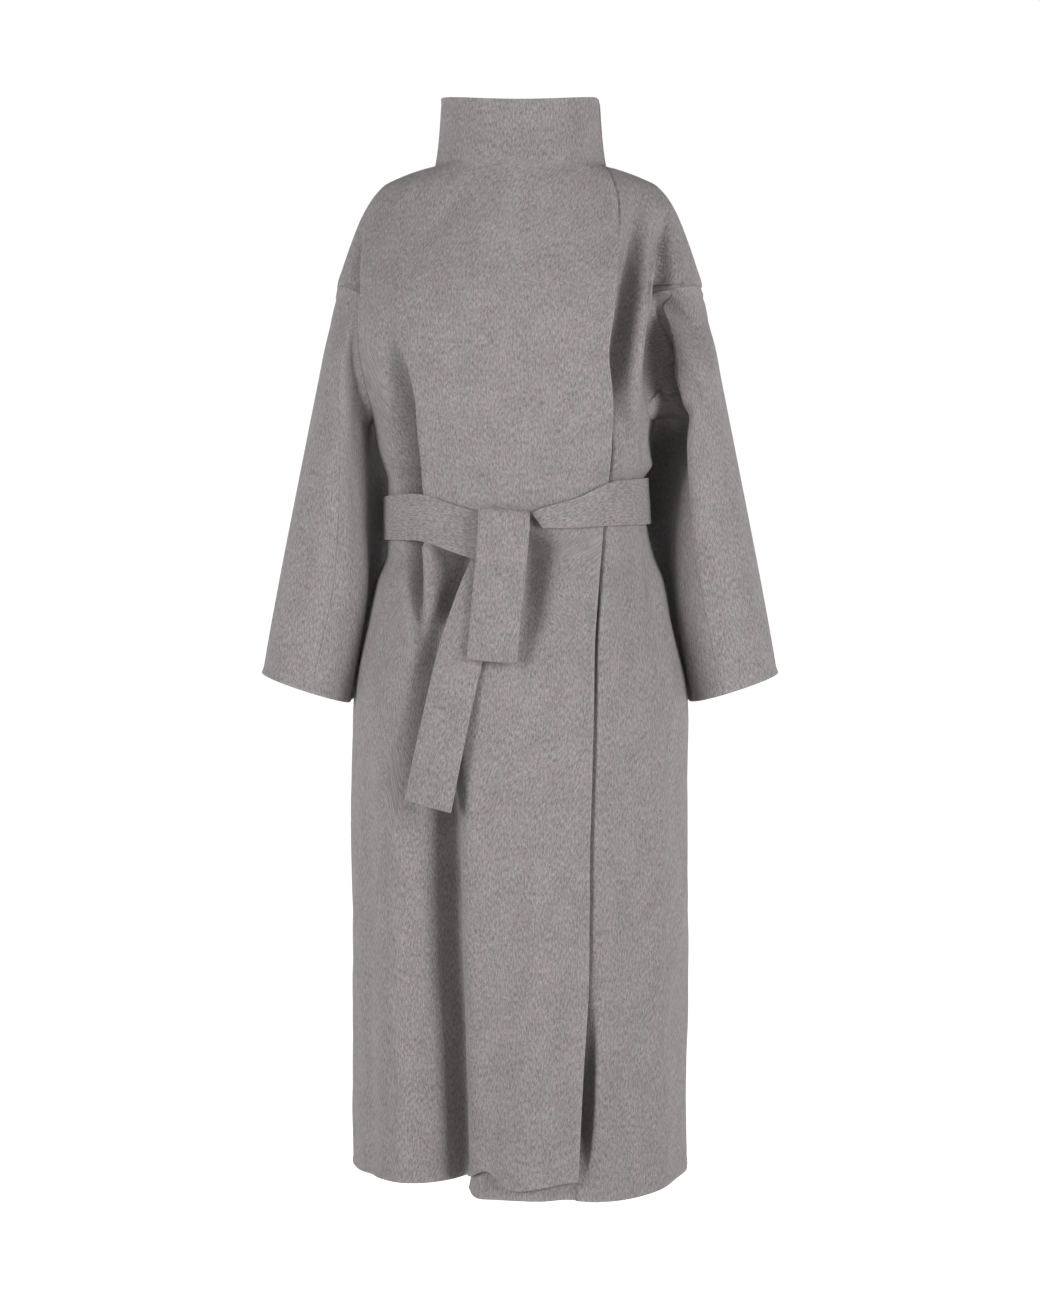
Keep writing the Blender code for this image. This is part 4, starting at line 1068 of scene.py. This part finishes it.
def belt_run():
    """Angles in degrees of the belt's run, with its heights, half widths and distances from the coat."""
    degrees = np.linspace(BELT_RUN[0].angle - BELT_NOSE_REACHES, BELT_RUN[-1].angle, BELT_COLUMNS + 1)
    keys = [p.angle for p in BELT_RUN]
    heights = smooth_table(keys, [p.height for p in BELT_RUN], degrees)
    halves = smooth_table(keys, [p.half for p in BELT_RUN], degrees)
    lifts = smooth_table(keys, [p.lift for p in BELT_RUN], degrees)
    nose = np.clip((degrees - degrees[0]) / BELT_NOSE_DEGREES, 0, 1)
    halves = halves * np.sqrt(1 - BELT_NOSE_NARROWS * (1 - nose) ** 2)
    return degrees, heights, halves, lifts


def belt_band(wool):
    """The belt round the waist, lying on the coat's plain outside, with a rounded nose at the knot."""
    degrees, heights, halves, lifts = belt_run()
    arc = math.radians(1) * ring_radius(np.array(BELT_TOP))
    edge_degrees = EDGE_PLACES * BELT_CLOTH / 2 / arc
    turned = edged(degrees, edge_degrees, edge_degrees)
    heights, halves, lifts = (np.interp(turned, degrees, v) for v in (heights, halves, lifts))
    edge_share = EDGE_PLACES * BELT_CLOTH / TAIL_WIDTH
    rows = -edged(np.linspace(-1, 1, BELT_ROWS), edge_share, edge_share)
    slant = BELT_NOSE_SLANT * np.clip(1 - (turned - turned[0]) / BELT_NOSE_SLANT_ENDS, 0, 1) ** 2
    angle = np.radians(turned[None, :] + slant[None, :] * (1 - rows[:, None]) / 2)
    height = heights[None, :] + halves[None, :] * rows[:, None]
    x, y, out_x, out_y = plain_ring(angle, height)
    outward = level_direction(out_x, out_y)
    bulge = BELT_BULGE * (1 - rows[:, None] ** 2) * np.ones_like(angle)
    outside = np.stack([x, y, height], axis=-1) + (lifts[None, :] + BELT_CLOTH + bulge)[..., None] * outward
    normal = grid_facing(outside, outward)
    piece, size, area = cloth_piece("belt_band", outside, normal, BELT_CLOTH, wool, [BELT_ROLL] * 4)
    turn_grain(piece)
    declare(piece, "belt_band")


def turn_grain(piece):
    """Turns a piece's grain by a quarter, for a strip that is cut along the cloth."""
    uv = piece.data.uv_layers["grain"].data
    flat = np.empty(len(uv) * 2, np.float32)
    uv.foreach_get("uv", flat)
    pairs = flat.reshape(-1, 2)[:, ::-1].copy()
    uv.foreach_set("uv", pairs.ravel())


def front_point(across, height):
    """Points of the plain front this far across, and which way it faces there."""
    x, y, out_x, out_y = plain_ring(angle_across(across, height), height)
    return np.stack([x, y, height], axis=-1), level_direction(out_x, out_y)


def belt_tail(node, points, width, wool):
    """A hanging end of the belt: a strip along a path that is given by its distance from the coat."""
    path = np.array([(p.across, p.height, p.lift) for p in points])
    steps = np.linalg.norm(np.diff(path, axis=0), axis=1)
    length = np.concatenate([[0], np.cumsum(steps)])
    edge = EDGE_PLACES * BELT_CLOTH / 2
    at = edged(np.linspace(0, length[-1], TAIL_ROWS), edge, edge)
    fine = np.stack([smooth_table(length, path[:, k], at) for k in range(3)], axis=-1)
    chord = unit(path[-1, :2] - path[0, :2])
    sideways = np.array([-chord[1], chord[0]])
    offsets = edged(np.linspace(-width / 2, width / 2, TAIL_COLUMNS), edge, edge)
    from_corner = 1 - np.clip((length[-1] - at) / TAIL_CORNER, 0, 1)
    corner = TAIL_CORNER * (1 - np.sqrt(np.clip(1 - from_corner**2, 0, 1)))
    narrowed = offsets[None, :] * (1 - corner[:, None] / (width / 2))
    across = fine[:, None, 0] + narrowed * sideways[0]
    height = fine[:, None, 1] + narrowed * sideways[1]
    surface, outward = front_point(across, height)
    middle = surface + fine[:, None, 2:3] * outward
    normal = unit(np.cross(np.gradient(middle, axis=1), np.gradient(middle, axis=0)))
    outside = middle + BELT_CLOTH / 2 * normal
    piece, size, area = cloth_piece(node, outside, normal, BELT_CLOTH, wool, [BELT_ROLL] * 4)
    declare(piece, node)


def belt_knot(wool):
    """The turn of the knot: a rounded pad of belt between its run and the short tail."""
    turns = np.linspace(0, 2 * math.pi, KNOT_COLUMNS, endpoint=False)
    rises = np.linspace(-math.pi / 2, math.pi / 2, KNOT_RINGS + 1)
    points = []
    grain = []
    grain_start = GRAIN_STARTS["belt_knot"][0]
    for rise in rises[1:-1]:
        reach = math.cos(rise) ** KNOT_ROUNDNESS
        across = KNOT_MIDDLE[0] + KNOT_HALF_LENGTH * reach * np.cos(turns)
        height = KNOT_MIDDLE[1] + KNOT_HALF_HEIGHT * reach * np.sin(turns)
        lift = KNOT_UNDERSIDE + KNOT_DEPTH * (1 + math.sin(rise)) / 2
        surface, outward = front_point(across, height)
        points += (surface + lift * outward).tolist()
        grain += np.stack([height + grain_start, across], axis=-1).tolist()
    for lift in (KNOT_UNDERSIDE, KNOT_UNDERSIDE + KNOT_DEPTH):
        surface, outward = front_point(np.array([KNOT_MIDDLE[0]]), np.array([KNOT_MIDDLE[1]]))
        points += (surface + lift * outward).tolist()
        grain.append([KNOT_MIDDLE[1] + grain_start, KNOT_MIDDLE[0]])
    faces = []
    rings = KNOT_RINGS - 1
    for i in range(rings - 1):
        for j in range(KNOT_COLUMNS):
            k = (j + 1) % KNOT_COLUMNS
            a = i * KNOT_COLUMNS
            faces.append((a + j, a + k, a + KNOT_COLUMNS + k, a + KNOT_COLUMNS + j))
    low = rings * KNOT_COLUMNS
    top = (rings - 1) * KNOT_COLUMNS
    for j in range(KNOT_COLUMNS):
        k = (j + 1) % KNOT_COLUMNS
        faces.append((low, k, j))
        faces.append((low + 1, top + j, top + k))
    piece = mesh_piece("belt_knot", points, faces, np.array(grain), wool)
    declare(piece, "belt_knot")


def node_of(tree, kind, **settings):
    node = tree.nodes.new(kind)
    for key, value in settings.items():
        setattr(node, key, value)
    return node


def fibre_noise(tree, grain, fibre):
    """Noise of one kind of fibre, drawn out down the nap."""
    stretched = node_of(tree, "ShaderNodeMapping")
    stretched.inputs["Scale"].default_value = (fibre.across, fibre.along, 1.0)
    noise = node_of(tree, "ShaderNodeTexNoise", noise_dimensions="2D")
    noise.inputs["Scale"].default_value = 1.0
    noise.inputs["Detail"].default_value = fibre.detail
    noise.inputs["Roughness"].default_value = fibre.roughness
    tree.links.new(grain, stretched.inputs["Vector"])
    tree.links.new(stretched.outputs["Vector"], noise.inputs["Vector"])
    return noise.outputs["Fac"]


def spread(tree, value, low, high, to_low, to_high):
    """A value between low and high, moved to the same place between two other ends."""
    node = node_of(tree, "ShaderNodeMapRange", clamp=True)
    for name, number in (("From Min", low), ("From Max", high), ("To Min", to_low), ("To Max", to_high)):
        node.inputs[name].default_value = number
    tree.links.new(value, node.inputs["Value"])
    return node.outputs["Result"]


def combined(tree, first, second, kind="ADD"):
    node = node_of(tree, "ShaderNodeMath", operation=kind)
    tree.links.new(first, node.inputs[0])
    tree.links.new(second, node.inputs[1])
    return node.outputs[0]


def mixed(tree, share, first, second):
    """A mix of two colours, each either given or read from another node."""
    mix = node_of(tree, "ShaderNodeMix", data_type="RGBA")
    places = [s for s in mix.inputs if s.name in ("A", "B") and s.type == "RGBA"]
    for place, colour in zip(places, (first, second)):
        if isinstance(colour, tuple):
            place.default_value = colour
        else:
            tree.links.new(colour, place)
    factor = [s for s in mix.inputs if s.name == "Factor" and s.type == "VALUE"][0]
    tree.links.new(share, factor)
    return [s for s in mix.outputs if s.type == "RGBA"][0]


def coordinates(tree, kind):
    """The separate coordinates of what is shaded."""
    where = node_of(tree, "ShaderNodeTexCoord")
    parts = node_of(tree, "ShaderNodeSeparateXYZ")
    tree.links.new(where.outputs[kind], parts.inputs[0])
    return parts.outputs


def brushed_wool():
    """Heathered brushed wool: light and dark fibres down the nap, clouds of tone, a painted highlight along
    edges and seams, and a soft pile.
    """
    wool = bpy.data.materials.new("brushed_wool")
    wool.use_nodes = True
    tree = wool.node_tree
    shader = tree.nodes["Principled BSDF"]
    shader.inputs["Roughness"].default_value = WOOL_ROUGHNESS
    shader.inputs["Specular IOR Level"].default_value = WOOL_SPECULAR
    shader.inputs["Sheen Weight"].default_value = WOOL_SHEEN
    shader.inputs["Sheen Roughness"].default_value = WOOL_SHEEN_ROUGHNESS
    grain = node_of(tree, "ShaderNodeUVMap", uv_map="grain").outputs["UV"]
    # A painted highlight: the colour is lightened along edges and seams, where light would catch the fibres
    edge = node_of(tree, "ShaderNodeAttribute", attribute_name="painted_edge_highlight").outputs["Fac"]
    tone = spread(tree, edge, 0.0, 1.0, 0.0, PAINTED_EDGE_HIGHLIGHT)
    noises = {}
    for fibre in (HAIRS, FINE_HAIRS, FLECKS, CLOUDS):
        noises[fibre] = fibre_noise(tree, grain, fibre)
        fibre_tone = spread(tree, noises[fibre], fibre.low, fibre.high, -fibre.tone, fibre.tone)
        tone = combined(tree, tone, fibre_tone)
    share = spread(tree, tone, -TONE_RANGE, TONE_RANGE, 0.0, 1.0)
    patches = fibre_noise(tree, grain, WARM_PATCHES)
    warmth = spread(tree, patches, WARM_PATCHES.low, WARM_PATCHES.high, 0.0, 1.0)
    warm = mixed(tree, share, WOOL_DARK, WOOL_LIGHT)
    cool = mixed(tree, share, COOL_DARK, COOL_LIGHT)
    tree.links.new(mixed(tree, warmth, cool, warm), shader.inputs["Base Color"])
    bump = node_of(tree, "ShaderNodeBump")
    bump.inputs["Distance"].default_value = NAP_HEIGHT
    bump.inputs["Strength"].default_value = NAP_STRENGTH
    pile = combined(tree, noises[HAIRS], noises[FINE_HAIRS])
    tree.links.new(pile, bump.inputs["Height"])
    tree.links.new(bump.outputs["Normal"], shader.inputs["Normal"])
    return wool


def studio():
    """A pale floor that glows behind the coat, a surround that is bright there, and two tall softboxes."""
    half = FLOOR_SIZE / 2
    level = HEM - FLOOR_DROP
    corners = [(-half, -half, level), (half, -half, level), (half, half, level), (-half, half, level)]
    floor_data = bpy.data.meshes.new("floor")
    floor_data.from_pydata(corners, [], [(0, 1, 2, 3)])
    floor = bpy.data.objects.new("floor", floor_data)
    bpy.context.scene.collection.objects.link(floor)
    pale = bpy.data.materials.new("pale_floor")
    pale.use_nodes = True
    tree = pale.node_tree
    shader = tree.nodes["Principled BSDF"]
    shader.inputs["Base Color"].default_value = FLOOR_COLOUR
    shader.inputs["Roughness"].default_value = FLOOR_ROUGHNESS
    shader.inputs["Emission Color"].default_value = WHITE
    behind = coordinates(tree, "Object")["Y"]
    glow = spread(tree, behind, FLOOR_GLOW_STARTS, FLOOR_GLOW_FULL, 0.0, FLOOR_GLOW)
    tree.links.new(glow, shader.inputs["Emission Strength"])
    floor_data.materials.append(pale)

    world = bpy.data.worlds.new("surround")
    world.use_nodes = True
    bpy.context.scene.world = world
    tree = world.node_tree
    back = tree.nodes["Background"]
    way = coordinates(tree, "Generated")
    behind = spread(tree, way["Y"], SURROUND_BACK_STARTS, SURROUND_BACK_FULL, SURROUND_FRONT, SURROUND_BACK)
    low = spread(tree, way["Z"], SURROUND_TOP_STARTS, SURROUND_TOP_FULL, 1.0, SURROUND_TOP)
    tree.links.new(combined(tree, behind, low, "MULTIPLY"), back.inputs["Strength"])
    back.inputs["Color"].default_value = WHITE

    for lamp in SOFTBOXES:
        light = bpy.data.lights.new(lamp.name, "AREA")
        light.shape = "RECTANGLE"
        light.size = BOX_WIDTH
        light.size_y = BOX_HEIGHT
        light.energy = lamp.power
        holder = bpy.data.objects.new(lamp.name, light)
        holder.location = lamp.place
        holder.rotation_euler = (Vector(LAMPS_AIM) - Vector(lamp.place)).to_track_quat("-Z", "Y").to_euler()
        holder.visible_camera = False
        bpy.context.scene.collection.objects.link(holder)


def photo_camera():
    """A camera at the photo's height and distance, tilted down to the coat's middle."""
    data = bpy.data.cameras.new("camera")
    data.lens = LENS
    camera = bpy.data.objects.new("camera", data)
    camera.location = (0.0, -CAMERA_DISTANCE, CAMERA_HEIGHT)
    camera.rotation_euler = (math.pi / 2 - CAMERA_TILT, 0.0, 0.0)
    bpy.context.scene.collection.objects.link(camera)
    bpy.context.scene.camera = camera


bpy.context.scene.view_settings.view_transform = "Standard"
photo_camera()
studio()
wool = brushed_wool()
body_pieces(wool)
for cut in SLEEVES:
    sleeve_piece(cut, "outer", wool)
    sleeve_piece(cut, "inner", wool)
belt_band(wool)
belt_knot(wool)
belt_tail("belt_tail_short", SHORT_TAIL, TAIL_WIDTH, wool)
belt_tail("belt_tail_long", LONG_TAIL, LONG_TAIL_WIDTH, wool)
